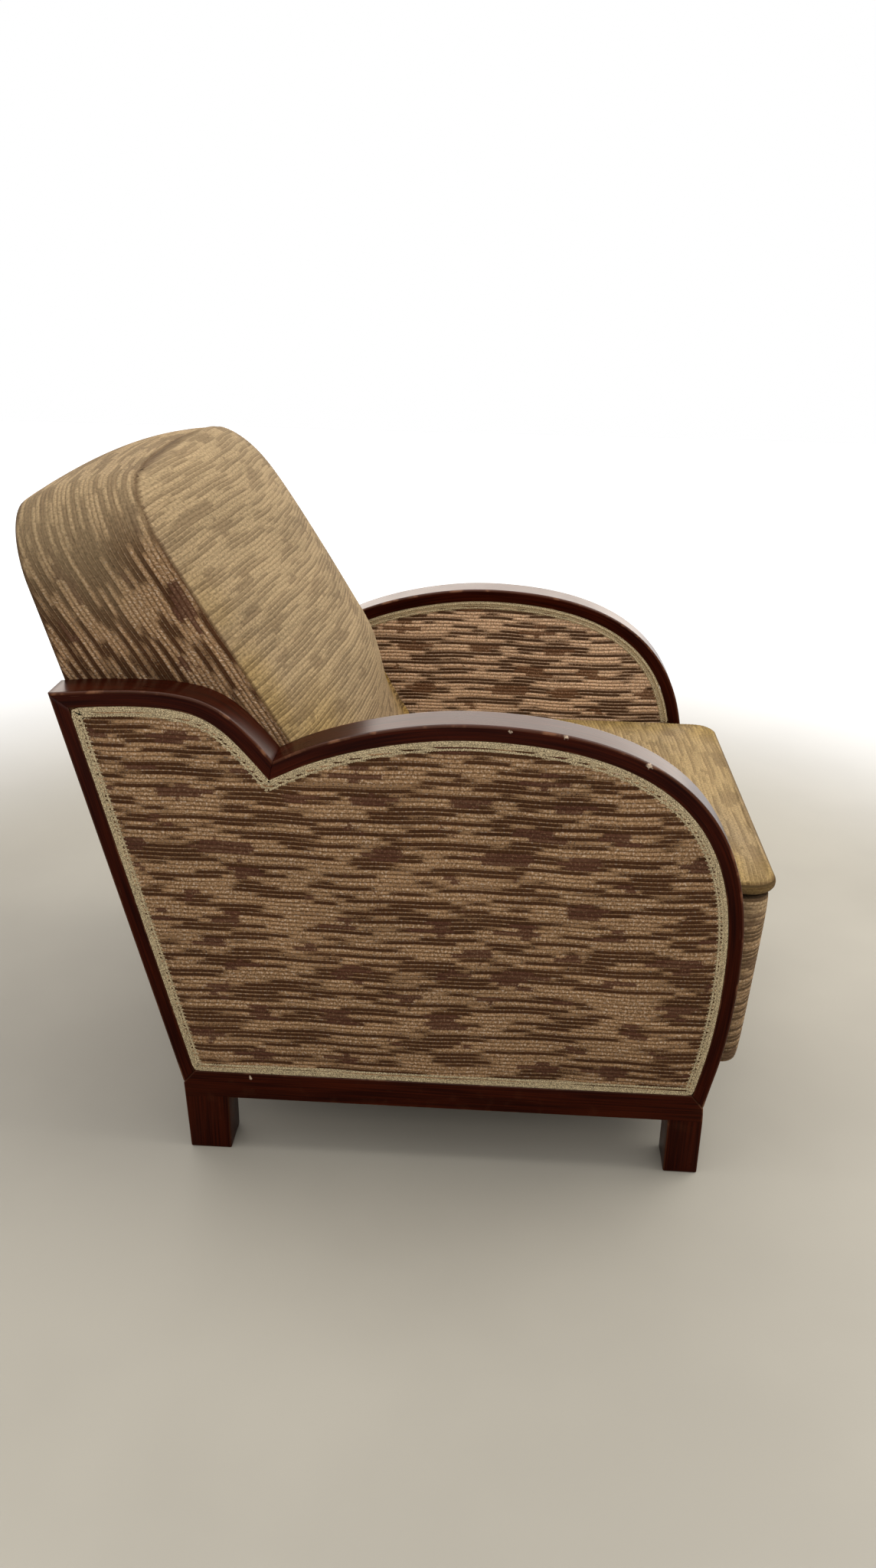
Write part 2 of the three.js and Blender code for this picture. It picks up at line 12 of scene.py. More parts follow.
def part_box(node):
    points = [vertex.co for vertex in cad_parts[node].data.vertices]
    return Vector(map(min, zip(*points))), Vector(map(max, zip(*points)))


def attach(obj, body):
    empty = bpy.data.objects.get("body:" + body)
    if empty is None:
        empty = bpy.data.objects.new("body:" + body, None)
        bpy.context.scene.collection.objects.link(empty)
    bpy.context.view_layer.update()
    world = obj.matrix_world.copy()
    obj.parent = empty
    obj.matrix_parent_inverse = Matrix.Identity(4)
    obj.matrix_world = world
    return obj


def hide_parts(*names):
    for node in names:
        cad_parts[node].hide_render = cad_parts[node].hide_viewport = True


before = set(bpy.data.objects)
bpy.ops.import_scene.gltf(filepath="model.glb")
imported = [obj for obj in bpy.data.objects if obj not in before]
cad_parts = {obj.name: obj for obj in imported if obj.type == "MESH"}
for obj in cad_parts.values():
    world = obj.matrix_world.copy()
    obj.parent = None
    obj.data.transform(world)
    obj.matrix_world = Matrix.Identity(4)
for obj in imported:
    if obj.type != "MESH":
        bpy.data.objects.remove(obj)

bl_info = {
    "name": "Low deco armchair",
    "version": (1, 0, 0),
    "blender": (4, 5, 0),
    "location": "3D View > Sidebar > Armchair",
    "description": "Builds the show wood, ribbed cloth, gimp and sprung seat of an old armchair",
    "category": "Object",
}

SIDES = {"right": -1, "left": 1}        # the sitter's right arm lies at -X
MM = 0.001


# ---------------------------------------------------------------- settings
class ClothSettings(bpy.types.PropertyGroup):
    """Sizes and colours of the ribbed upholstery cloth."""
    rib_pitch: FloatProperty(name="Rib pitch", description="Distance from one rib to the next",
                             default=5.4 * MM, unit="LENGTH", precision=4)
    rib_relief: FloatProperty(name="Rib relief", description="Height of a rib above the gap beside it",
                              default=0.8 * MM, unit="LENGTH", precision=4)
    column: FloatProperty(name="Column", description="Distance between points along a rib",
                          default=8 * MM, unit="LENGTH", precision=4)
    light: FloatVectorProperty(name="Light ribs", description="Colour of the tan ribs", size=3,
                               subtype="COLOR", default=(0.340, 0.200, 0.098))
    block: FloatVectorProperty(name="Blocks", description="Colour of the mauve-brown blocks", size=3,
                               subtype="COLOR", default=(0.080, 0.033, 0.0195))
    # painted light: the ribs and blocks inside the arms are painted lighter for the light the inner panels
    # catch
    inner_ribs_painted_lit: FloatVectorProperty(name="Inner ribs", description="Colour of the ribs inside the arms",
                                     size=3, subtype="COLOR", default=(0.72, 0.47, 0.285))
    inner_blocks_painted_lit: FloatVectorProperty(name="Inner blocks", description="Colour of the blocks inside the arms",
                                     size=3, subtype="COLOR", default=(0.150, 0.070, 0.034))
    dash: FloatVectorProperty(name="Dashes", description="Colour of the single dark dashes", size=3,
                              subtype="COLOR", default=(0.040, 0.0135, 0.0045))
    # the ground colour also paints the shade in the gaps between the ribs
    ground: FloatVectorProperty(name="Ground", description="Colour of the gaps between the ribs", size=3,
                                subtype="COLOR", default=(0.044, 0.0160, 0.0055))
    faded_light: FloatVectorProperty(name="Faded ribs", description="Tan ribs bleached by the sun", size=3,
                                     subtype="COLOR", default=(0.300, 0.214, 0.116))
    faded_block: FloatVectorProperty(name="Faded blocks", description="Dark pattern bleached by the sun",
                                     size=3, subtype="COLOR", default=(0.180, 0.123, 0.067))


class WoodSettings(bpy.types.PropertyGroup):
    """Edges and colours of the polished show wood."""
    edge_radius: FloatProperty(name="Edge radius", description="Rounding of the rims' outer edges",
                               default=3.4 * MM, unit="LENGTH", precision=4)
    inner_radius: FloatProperty(name="Inner radius", description="Rounding of the edges against the cloth",
                                default=1.4 * MM, unit="LENGTH", precision=4)
    dark: FloatVectorProperty(name="Dark polish", description="Colour of the dark grain", size=3,
                              subtype="COLOR", default=(0.011, 0.0014, 0.0006))
    warm: FloatVectorProperty(name="Warm polish", description="Colour of the reddish grain", size=3,
                              subtype="COLOR", default=(0.040, 0.0056, 0.0015))
    # also the colour of the painted highlight along the rounded edges
    worn_and_highlight: FloatVectorProperty(name="Worn wood", description="Colour where the polish is rubbed off", size=3,
                              subtype="COLOR", default=(0.22, 0.095, 0.045))


class GimpSettings(bpy.types.PropertyGroup):
    """Sizes and colours of the double gimp braid along the rims."""
    pitch: FloatProperty(name="Stitch pitch", description="Distance between stitches along a row",
                         default=3.1 * MM, unit="LENGTH", precision=4)
    row_offset: FloatProperty(name="Row offset", description="Distance of each row from the braid's middle",
                              default=3.5 * MM, unit="LENGTH", precision=4)
    slant: FloatProperty(name="Slant", description="Turn of a stitch away from the braid's direction",
                         default=math.radians(27), subtype="ANGLE")
    seed: IntProperty(name="Seed", description="Seed of the stitches' unevenness", default=4)
    light: FloatVectorProperty(name="Yarn", description="Colour of the raised stitches", size=3,
                               subtype="COLOR", default=(0.68, 0.54, 0.315))
    dark: FloatVectorProperty(name="Tape", description="Colour between the stitches", size=3,
                              subtype="COLOR", default=(0.105, 0.075, 0.036))


class BackSettings(bpy.types.PropertyGroup):
    """Shape of the reclined back."""
    lean: FloatProperty(name="Lean", description="Lean of the front seam from upright",
                        default=math.radians(31.13), subtype="ANGLE")
    corner: FloatProperty(name="Corner radius", description="Radius of the front seam's top corners",
                          default=0.086, unit="LENGTH")
    rear_corner: FloatProperty(name="Rear corner radius",
                               description="Radius of the rear panel's top corners",
                               default=0.082, unit="LENGTH")
    crown: FloatProperty(name="Crown", description="How far the middle stands out of the seam's plane",
                         default=0.076, unit="LENGTH")


class StageSettings(bpy.types.PropertyGroup):
    """Floor, light and camera."""
    floor_colour: FloatVectorProperty(name="Floor", description="Colour of the floor", size=3,
                                      subtype="COLOR", default=(0.365, 0.335, 0.275))
    camera_place: FloatVectorProperty(name="Camera place", description="Where the camera stands", size=3,
                                      subtype="TRANSLATION", default=(-1.623, -0.1076, 1.070))
    camera_turn: FloatProperty(name="Camera turn", description="Heading from +X towards +Y",
                               default=math.radians(2.96), subtype="ANGLE")
    camera_pitch: FloatProperty(name="Camera pitch", description="Angle below the horizon",
                                default=math.radians(22.85), subtype="ANGLE")
    camera_roll: FloatProperty(name="Camera roll", description="Lift of the view's right side",
                               default=math.radians(1.133), subtype="ANGLE")
    lens: FloatProperty(name="Lens", description="Focal length for a sensor 36 mm high", default=28.48)


def settings(name):
    """One group of the add-on's settings."""
    return getattr(bpy.context.scene, name)


# ---------------------------------------------------------------- small geometry helpers
SAME_PLACE = 0.01 * MM                  # points closer than this are one
SHARP_CORNER = math.radians(24)         # a closed loop's corners that stay sharp turn more than this


def ease(x, low, high):
    """0 below low, 1 above high, smooth between."""
    t = np.clip((x - low) / (high - low), 0, 1)
    return t * t * (3 - 2 * t)


def cap_loops(node, side):
    """Outlines of a CAD node's outermost face towards side * X, as arrays of (y, z)."""
    solid = bmesh.new()
    solid.from_mesh(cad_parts[node].data)
    bmesh.ops.remove_doubles(solid, verts=solid.verts, dist=SAME_PLACE)
    extreme = max(v.co.x * side for v in solid.verts)
    cap = {f for f in solid.faces if all(extreme - v.co.x * side < SAME_PLACE for v in f.verts)}
    # kept in the mesh's own order, so that a loop starts at the same vertex in every run
    border = {e: True for e in solid.edges if sum(f in cap for f in e.link_faces) == 1}
    loops = []
    while border:
        edge = next(iter(border))
        del border[edge]
        start, vertex = edge.verts
        loop = [start]
        while vertex != start:
            loop.append(vertex)
            edge = next(e for e in vertex.link_edges if e in border)
            del border[edge]
            vertex = edge.other_vert(vertex)
        loops.append(np.array([(v.co.y, v.co.z) for v in loop]))
    solid.free()
    return sorted(loops, key=len, reverse=True)


def length_along(points):
    """How far along an open run each of its points lies."""
    return np.concatenate([[0], np.cumsum(np.linalg.norm(np.diff(points, axis=0), axis=1))])


def unit(vectors):
    """Rows of vectors, each made one unit long."""
    return vectors / np.linalg.norm(vectors, axis=1)[:, None]


def two_runs(loop, centre):
    """Splits a band's closed outline into its outer and inner run, as matching points."""
    half = len(loop) // 2
    best = None
    for start in range(half):
        turned = np.roll(loop, -start, axis=0)
        there, back = turned[:half], turned[half:][::-1]
        gap = np.linalg.norm(there - back, axis=1).sum()
        if best is None or gap < best[0]:
            best = (gap, there, back)
    runs = sorted(best[1:], key=lambda run: np.linalg.norm(run - centre, axis=1).mean())
    return runs[1], runs[0]


def match_loops(first, second):
    """Turns the second closed loop so that its points lie beside the first one's."""
    options = [np.roll(turned, -i, axis=0) for turned in (second, second[::-1]) for i in range(len(second))]
    return min(options, key=lambda option: np.linalg.norm(option - first, axis=1).sum())


def smooth_runs(runs, spacing):
    """Resamples matching open runs of points along one smooth curve each, at even steps of the first."""
    length = length_along(runs[0])
    steps = max(2, round(length[-1] / spacing))
    at = np.linspace(0, length[-1], steps + 1)
    i = np.clip(np.searchsorted(length, at, "right") - 1, 0, len(length) - 2)
    h = (length[i + 1] - length[i])[:, None]
    t = (at - length[i])[:, None] / h
    smoothed = []
    for run in runs:
        if len(run) > 2:
            slope = np.gradient(run, length, axis=0)
        else:
            slope = np.repeat((run[1:] - run[:1]) / length[-1], 2, axis=0)
        smoothed.append((2 * t**3 - 3 * t**2 + 1) * run[i] + (t**3 - 2 * t**2 + t) * h * slope[i]
                        + (3 * t**2 - 2 * t**3) * run[i + 1] + (t**3 - t**2) * h * slope[i + 1])
    return smoothed


def smooth_closed(loop, spacing):
    """Resamples a closed loop, keeping its sharp corners."""
    before = loop - np.roll(loop, 1, axis=0)
    after = np.roll(loop, -1, axis=0) - loop
    cross = before[:, 0] * after[:, 1] - before[:, 1] * after[:, 0]
    turn = np.abs(np.arctan2(cross, (before * after).sum(axis=1)))
    sharp = np.flatnonzero(turn > SHARP_CORNER)
    loop = np.roll(loop, -sharp[0], axis=0)
    sharp = [*(sharp - sharp[0]), len(loop)]
    closed = np.vstack([loop, loop[:1]])
    parts = [smooth_runs([closed[a:b + 1]], spacing)[0][:-1] for a, b in zip(sharp, sharp[1:])]
    return np.vstack(parts)


def add_object(name, data):
    """A new object in the scene, at the origin."""
    made = bpy.data.objects.new(name, data)
    bpy.context.scene.collection.objects.link(made)
    return made


def new_object(name, vertices, faces, finish, smooth=True):
    """A mesh object with one material."""
    mesh = bpy.data.meshes.new(name)
    mesh.from_pydata([tuple(v) for v in vertices], [], faces)
    mesh.materials.append(finish)
    mesh.polygons.foreach_set("use_smooth", [smooth] * len(mesh.polygons))
    return add_object(name, mesh)


def set_uv(mesh, name, per_vertex):
    """Writes a UV map from one pair for each vertex."""
    layer = mesh.uv_layers.new(name=name)
    index = np.empty(len(mesh.loops), dtype=np.int32)
    mesh.loops.foreach_get("vertex_index", index)
    layer.data.foreach_set("uv", np.asarray(per_vertex, dtype=np.float32)[index].ravel())


def set_value(mesh, name, per_vertex):
    """Writes a named value for each vertex, which a material reads."""
    attribute = mesh.attributes.new(name, "FLOAT", "POINT")
    attribute.data.foreach_set("value", np.asarray(per_vertex, dtype=np.float32))


def face_outwards(mesh):
    """Turns every face of a closed mesh outwards."""
    shell = bmesh.new()
    shell.from_mesh(mesh)
    bmesh.ops.recalc_face_normals(shell, faces=shell.faces)
    shell.to_mesh(mesh)
    shell.free()


def plain_mesh(piece):
    """Replaces an object's mesh with its evaluated result and clears its modifiers."""
    depsgraph = bpy.context.evaluated_depsgraph_get()
    made = bpy.data.meshes.new_from_object(piece.evaluated_get(depsgraph), preserve_all_data_layers=True,
                                           depsgraph=depsgraph)
    old = piece.data
    piece.modifiers.clear()
    piece.data = made
    bpy.data.meshes.remove(old)
    made.name = piece.name


def place_piece(piece, slot, *nodes):
    """Gives a finished piece its body and hides the CAD nodes it stands for; slot is not used."""
    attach(piece, "root")
    if nodes:
        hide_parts(*nodes)
    return piece


# ---------------------------------------------------------------- shader helpers
# Where the right side's polish is chipped, and the radius of each chip
CHIPS = [((-0.334, -0.182, 0.589), 3.4 * MM), ((-0.334, -0.276, 0.558), 4.2 * MM),
         ((-0.335, -0.120, 0.592), 2.2 * MM), ((-0.335, 0.190, 0.112), 3 * MM)]
CHIP_EDGE = 7 * MM                      # how much a chip's outline wanders
WHITE = (1, 1, 1, 1)


def add_node(tree, kind, inputs=(), **options):
    """Adds a node, sets its options and fills or links its inputs by index or name."""
    node = tree.nodes.new(kind)
    for key, value in options.items():
        setattr(node, key, value)
    pairs = inputs.items() if isinstance(inputs, dict) else enumerate(inputs)
    for key, value in pairs:
        if isinstance(value, bpy.types.NodeSocket):
            tree.links.new(value, node.inputs[key])
        else:
            node.inputs[key].default_value = value
    return node


class Sums:
    """Short ways to write arithmetic in one node tree."""

    def __init__(self, tree):
        self.tree = tree

    def do(self, operation, *inputs):
        return add_node(self.tree, "ShaderNodeMath", inputs, operation=operation).outputs[0]

    def plus(self, first, second):
        return self.do("ADD", first, second)

    def times(self, first, second):
        return self.do("MULTIPLY", first, second)

    def scaled(self, value, factor, offset):
        return self.do("MULTIPLY_ADD", value, factor, offset)

    def centred(self, value, amount):
        """Turns 0 to 1 into half the amount below zero to half the amount above it."""
        return self.do("MULTIPLY_ADD", value, amount, -amount / 2)

    def vector(self, *inputs):
        return add_node(self.tree, "ShaderNodeCombineXYZ", inputs).outputs[0]

    def split(self, vector):
        return add_node(self.tree, "ShaderNodeSeparateXYZ", [vector]).outputs

    def noise(self, vector, detail=2.0, scale=1.0):
        return add_node(self.tree, "ShaderNodeTexNoise",
                        {"Vector": vector, "Scale": scale, "Detail": detail}).outputs[0]

    def stretched(self, x, x_scale, y, y_scale, layer, detail):
        """Noise with its own scale along and across; each layer is another pattern."""
        return self.noise(self.vector(self.times(x, x_scale), self.times(y, y_scale), layer), detail)

    def white(self, x, y=0.0):
        """A random value and a random colour for each x and y."""
        return add_node(self.tree, "ShaderNodeTexWhiteNoise", {"Vector": self.vector(x, y, 0.37)}).outputs

    def step(self, value, low, high):
        return add_node(self.tree, "ShaderNodeMapRange", {"Value": value, "From Min": low, "From Max": high},
                        interpolation_type="SMOOTHSTEP").outputs[0]

    def distance(self, place, spot):
        return add_node(self.tree, "ShaderNodeVectorMath", {0: place, 1: spot},
                        operation="DISTANCE").outputs[1]

    def chips(self, place):
        """1 at each small chip of the right side's edges, 0 elsewhere."""
        total = 0.0
        ragged = self.centred(self.noise(place, 2.0, 420.0), CHIP_EDGE)
        for spot, radius in CHIPS:
            gap = self.plus(self.distance(place, spot), ragged)
            total = self.plus(total, self.step(gap, radius, radius * 0.5))
        return self.do("MINIMUM", total, 1.0)

    def mix(self, factor, first, second, blend="MIX"):
        """Blends two colours."""
        return add_node(self.tree, "ShaderNodeMix", {0: factor, 6: first, 7: second},
                        data_type="RGBA", blend_type=blend).outputs[2]


def new_group(name, inputs, outputs):
    """An empty shader node group with its sockets; returns the group, its input node and its output node."""
    group = bpy.data.node_groups.new(name, "ShaderNodeTree")
    kinds = {"f": "NodeSocketFloat", "v": "NodeSocketVector", "c": "NodeSocketColor"}
    for label, kind in inputs.items():
        group.interface.new_socket(label, in_out="INPUT", socket_type=kinds[kind])
    for label, kind in outputs.items():
        group.interface.new_socket(label, in_out="OUTPUT", socket_type=kinds[kind])
    return group, group.nodes.new("NodeGroupInput").outputs, group.nodes.new("NodeGroupOutput").inputs


# The cloth's pattern: lengths in metres along a rib, counts in ribs across them
BLOCK_REPEAT = 0.112                    # from one dark block to the next
BLOCK_RIBS = 6.0                        # ribs in one row of blocks
BLOCK_MIDDLE = 2.3                      # rib on which a block is widest
BLOCK_REACH = 2.1                       # ribs over which it narrows to its ends
BLOCK_HALF = 0.017                      # half of its greatest width
BLOCK_TAPER = -0.022                    # change of that half at the block's first and last rib
BLOCK_BLUR = 0.003                      # softness of its ends
NUB_SCALE = 430.0                       # lumps of the fluffy yarn


def ribbed_cloth_group():
    """Chenille ribs with dark dashes and staggered blocks. Weave is along and across the ribs, in metres."""
    group, given, result = new_group(
        "Ribbed cloth",
        {"Weave": "v", "Pitch": "f", "Fade": "f", "Edge": "f", "Stain": "f", "Light": "c", "Block": "c",
         "Dash": "c", "Ground": "c", "Faded Light": "c", "Faded Block": "c"},
        {"Color": "c", "Roughness": "f", "Height": "f"})
    s = Sums(group)
    light, dark, ground = given["Light"], given["Block"], given["Ground"]

    # the ribs and the lumps of their yarn
    along, across, _ = s.split(given["Weave"])
    position = s.do("DIVIDE", across, given["Pitch"])
    rib = s.do("FLOOR", position)
    phase = s.do("FRACT", position)
    from_top = s.do("ABSOLUTE", s.scaled(phase, 2.0, -1.0))
    profile = s.do("SUBTRACT", 1.0, s.do("POWER", from_top, 3.0))
    rib_width, rib_shift, _ = s.split(s.white(rib, 3.1)[1])
    nub_row = s.scaled(rib, 3.7, s.times(phase, 1.8))
    nub = s.noise(s.vector(s.times(along, NUB_SCALE), nub_row, 0.0), 2.5)

    # the staggered blocks
    row = s.do("FLOOR", s.do("DIVIDE", s.plus(rib, 0.5), BLOCK_RIBS))
    in_row = s.do("SUBTRACT", rib, s.times(row, BLOCK_RIBS))
    row_shift = s.scaled(s.white(row, 8.2)[0], 0.34, s.times(row, 0.5))
    cell_place = s.plus(s.do("DIVIDE", along, BLOCK_REPEAT), row_shift)
    jitter, width_change, presence = s.split(s.white(row, s.do("FLOOR", cell_place))[1])
    shifts = s.plus(s.centred(jitter, 0.34), s.centred(rib_shift, 0.2))
    off_middle = s.plus(s.do("SUBTRACT", s.do("FRACT", cell_place), 0.5), shifts)
    off_block = s.plus(s.times(s.do("ABSOLUTE", off_middle), BLOCK_REPEAT), s.centred(nub, 0.008))
    to_end = s.do("DIVIDE", s.do("SUBTRACT", in_row, BLOCK_MIDDLE), BLOCK_REACH)
    half = s.scaled(s.do("POWER", s.do("ABSOLUTE", to_end), 2.0), BLOCK_TAPER, BLOCK_HALF)
    half = s.plus(half, s.centred(rib_width, 0.030))
    half = s.plus(half, s.scaled(width_change, 0.022, -0.012))
    half = s.times(half, s.step(presence, 0.12, 0.20))
    block = s.step(s.do("SUBTRACT", half, off_block), -BLOCK_BLUR, BLOCK_BLUR)

    # the single dark dashes on the ribs' tops
    streak = s.stretched(along, 9.5, rib, 11.37, 4.0, 1.0)
    streak = s.plus(streak, s.centred(nub, 0.12))
    dash = s.times(s.step(streak, 0.485, 0.53), s.step(phase, 0.90, 0.70))

    # the colours as woven, with painted highlights on the yarn's highest lumps and darker lowest lumps,
    # bleached by the sun, and both together
    soft = s.stretched(along, 7.0, across, 11.0, 2.0, 2.0)
    # painted highlight: the highest lumps are mixed towards a whitish colour; the lowest lumps are darker
    ribs_with_painted_highlights = s.mix(s.step(nub, 0.56, 0.30), light, s.mix(0.55, light, ground))
    ribs_with_painted_highlights = s.mix(s.step(nub, 0.52, 0.70), ribs_with_painted_highlights, s.mix(0.26, light, (1, 0.92, 0.78, 1)))
    unfaded = s.mix(s.times(dash, 0.94), ribs_with_painted_highlights, given["Dash"])
    speckle = s.mix(s.step(nub, 0.55, 0.74), dark, s.mix(0.5, dark, light))
    unfaded = s.mix(s.times(block, 0.9), unfaded, speckle)
    worn_pattern = s.do("MAXIMUM", s.times(dash, 0.75), s.times(block, 0.8))
    faded = s.mix(worn_pattern, given["Faded Light"], given["Faded Block"])
    faded = s.mix(s.times(s.step(nub, 0.52, 0.28), 0.6), faded, given["Faded Block"])
    fade = s.step(s.plus(given["Fade"], s.centred(soft, 0.24)), 0.0, 1.0)
    cloth = s.mix(fade, unfaded, faded)

    # painted shade in the gaps between the ribs, weaker where the cloth is faded
    uneven = s.stretched(along, 8.0, rib, 2.9, 9.0, 2.0)
    shown = s.mix(fade, s.step(uneven, 0.15, 0.60), s.step(uneven, 0.42, 0.72))
    gap_shade_depth = s.times(s.scaled(fade, -0.55, 0.92), shown)
    # painted shade: the gaps between the ribs are darkened towards the ground colour
    gap = s.times(s.do("POWER", from_top, 2.6), gap_shade_depth)
    cloth = s.mix(gap, cloth, ground)

    # unevenness, the yellowish stain and the darkening along the seams
    grit = s.stretched(along, 300.0, across, 340.0, 5.0, 1.0)
    tone = s.plus(s.scaled(soft, 0.5, 0.75), s.centred(uneven, 0.5))
    tone = s.plus(tone, s.centred(grit, 1.1))
    cloth = s.mix(1.0, cloth, s.vector(tone, tone, tone), "MULTIPLY")
    yellowed = s.mix(1.0, cloth, (1.0, 0.90, 0.42, 1), "MULTIPLY")
    cloth = s.mix(s.times(given["Stain"], s.step(soft, 0.25, 0.6)), cloth, yellowed)
    # darker within 6 mm of each patch's edge
    seam_darkening = s.times(s.step(given["Edge"], 0.006, 0.0), 0.55)
    cloth = s.mix(seam_darkening, cloth, ground)

    group.links.new(cloth, result["Color"])
    group.links.new(s.scaled(nub, 0.12, 0.84), result["Roughness"])
    group.links.new(s.plus(s.times(profile, 0.45), s.times(nub, 0.75)), result["Height"])
    return group


def polished_wood_group():
    """Long grain with rubbed edges, which also carry a painted highlight. Grain is along and across the
    grain, in metres.
    """
    group, given, result = new_group(
        "Polished wood", {"Grain": "v", "Place": "v", "Wear_and_highlight": "f", "Dark": "c", "Warm": "c", "Worn_and_highlight": "c"},
        {"Color": "c", "Roughness": "f", "Height": "f"})
    s = Sums(group)
    along, across, _ = s.split(given["Grain"])
    streak = s.stretched(along, 9.0, across, 420.0, 0.0, 3.0)
    figure = s.stretched(along, 5.0, across, 45.0, 7.0, 2.0)
    grain = s.step(s.plus(s.times(streak, 0.55), s.times(figure, 0.45)), 0.34, 0.68)
    colour = s.mix(grain, given["Dark"], given["Warm"])

    # polish rubbed off the edges, lighter there as real rubbing and as a painted highlight, chips down to
    # bare wood, and fine scratches along the grain
    rubbed = s.noise(given["Place"], 4.0, 46.0)
    # painted highlight and rubbing: the rounded edges are mixed towards the light rubbed colour
    rub_and_highlight = s.times(s.scaled(s.step(rubbed, 0.54, 0.70), 0.5, 0.12), given["Wear_and_highlight"])
    colour = s.mix(rub_and_highlight, colour, given["Worn_and_highlight"])
    chip = s.times(s.chips(given["Place"]), s.step(rubbed, 0.30, 0.45))
    colour = s.mix(s.times(chip, 0.85), colour, (0.50, 0.38, 0.27, 1))
    scratch = s.stretched(along, 21.0, across, 900.0, 3.0, 1.0)
    scratched = s.times(s.step(scratch, 0.76, 0.82), 0.3)
    colour = s.mix(scratched, colour, given["Worn_and_highlight"])

    haze = s.noise(given["Place"], 3.0, 14.0)
    spoiled = s.plus(rub_and_highlight, scratched)
    group.links.new(colour, result["Color"])
    group.links.new(s.plus(s.scaled(haze, 0.20, 0.20), s.times(spoiled, 0.3)), result["Roughness"])
    group.links.new(s.do("SUBTRACT", s.times(streak, 0.25), spoiled), result["Height"])
    return group


def new_material(name):
    """A material with nodes, its tree and its shader."""
    finish = bpy.data.materials.new(name)
    finish.use_nodes = True
    tree = finish.node_tree
    return finish, tree, tree.nodes["Principled BSDF"]


def feed_shader(tree, shader, colour, roughness, height, distance):
    """Links a surface's colour, roughness and relief to its shader."""
    tree.links.new(colour, shader.inputs["Base Color"])
    tree.links.new(roughness, shader.inputs["Roughness"])
    bump = add_node(tree, "ShaderNodeBump", {"Height": height, "Distance": distance})
    tree.links.new(bump.outputs[0], shader.inputs["Normal"])


def attribute(tree, name):
    """The value of that name that set_value wrote."""
    return add_node(tree, "ShaderNodeAttribute", attribute_name=name).outputs["Fac"]


def rgba(colour):
    """A setting's colour as a socket takes it."""
    return (*colour, 1.0)


def cloth_material(name, group, light, block):
    """Ribbed cloth; the pieces carry its weave map and its fade, edge and stain values."""
    cloth = settings("armchair_cloth")
    finish, tree, shader = new_material(name)
    weave = add_node(tree, "ShaderNodeUVMap", uv_map="weave")
    ribs = add_node(tree, "ShaderNodeGroup", {
        "Weave": weave.outputs[0], "Pitch": cloth.rib_pitch, "Fade": attribute(tree, "fade"),
        "Edge": attribute(tree, "edge"), "Stain": attribute(tree, "stain"), "Light": rgba(light),
        "Block": rgba(block), "Dash": rgba(cloth.dash), "Ground": rgba(cloth.ground),
        "Faded Light": rgba(cloth.faded_light), "Faded Block": rgba(cloth.faded_block)}, node_tree=group)
    feed_shader(tree, shader, ribs.outputs["Color"], ribs.outputs["Roughness"], ribs.outputs["Height"],
                0.9 * MM)
    shader.inputs["Specular IOR Level"].default_value = 0.03
    shader.inputs["Sheen Weight"].default_value = 0.02
    shader.inputs["Sheen Roughness"].default_value = 0.5
    return finish


def wood_material(group):
    """Dark polish; the pieces carry its grain map, their rubbed edges with a painted highlight, and their
    polish values.
    """
    wood = settings("armchair_wood")
    finish, tree, shader = new_material("mahogany")
    grain = add_node(tree, "ShaderNodeUVMap", uv_map="grain")
    place = add_node(tree, "ShaderNodeTexCoord")
    polish = add_node(tree, "ShaderNodeGroup", {
        "Grain": grain.outputs[0], "Place": place.outputs["Object"], "Wear_and_highlight": attribute(tree, "wear_and_highlight"),
        "Dark": rgba(wood.dark), "Warm": rgba(wood.warm), "Worn_and_highlight": rgba(wood.worn_and_highlight)}, node_tree=group)
    feed_shader(tree, shader, polish.outputs["Color"], polish.outputs["Roughness"],
                polish.outputs["Height"], 0.12 * MM)
    shader.inputs["Specular IOR Level"].default_value = 0.03
    tree.links.new(attribute(tree, "polish"), shader.inputs["Coat Weight"])
    shader.inputs["Coat Roughness"].default_value = 0.22
    return finish


def fibre_material(name, light, dark, scale, roughness, relief, metallic=0.0):
    """Plain cloth, jute, timber or wire from two colours and a noise on the object's own coordinates."""
    finish, tree, shader = new_material(name)
    s = Sums(tree)
    place = add_node(tree, "ShaderNodeTexCoord").outputs["Object"]
    stretched = add_node(tree, "ShaderNodeMapping", {"Vector": place, "Scale": scale}).outputs[0]
    grain = s.noise(stretched, 3.0)
    shader.inputs["Metallic"].default_value = metallic
    feed_shader(tree, shader, s.mix(s.step(grain, 0.3, 0.7), rgba(dark), rgba(light)),
                s.scaled(grain, 0.2, roughness - 0.1), grain, relief)
    return finish


# Light colour, dark colour, scale of the fibres, roughness, relief and, for wire, how metallic it is
FIBRES = {
    "beech": ((0.42, 0.27, 0.13), (0.27, 0.155, 0.07), (60, 60, 9), 0.65, 0.1 * MM),
    "webbing": ((0.33, 0.24, 0.12), (0.15, 0.10, 0.045), (600, 600, 600), 0.92, 0.4 * MM),
    "hessian": ((0.34, 0.25, 0.13), (0.17, 0.115, 0.055), (500, 500, 500), 0.95, 0.4 * MM),
    "spring_steel": ((0.30, 0.28, 0.25), (0.14, 0.09, 0.06), (90, 90, 90), 0.5, 0.05 * MM, 0.9),
    "dust_cloth": ((0.030, 0.026, 0.023), (0.014, 0.012, 0.011), (700, 700, 700), 0.95, 0.2 * MM),
}


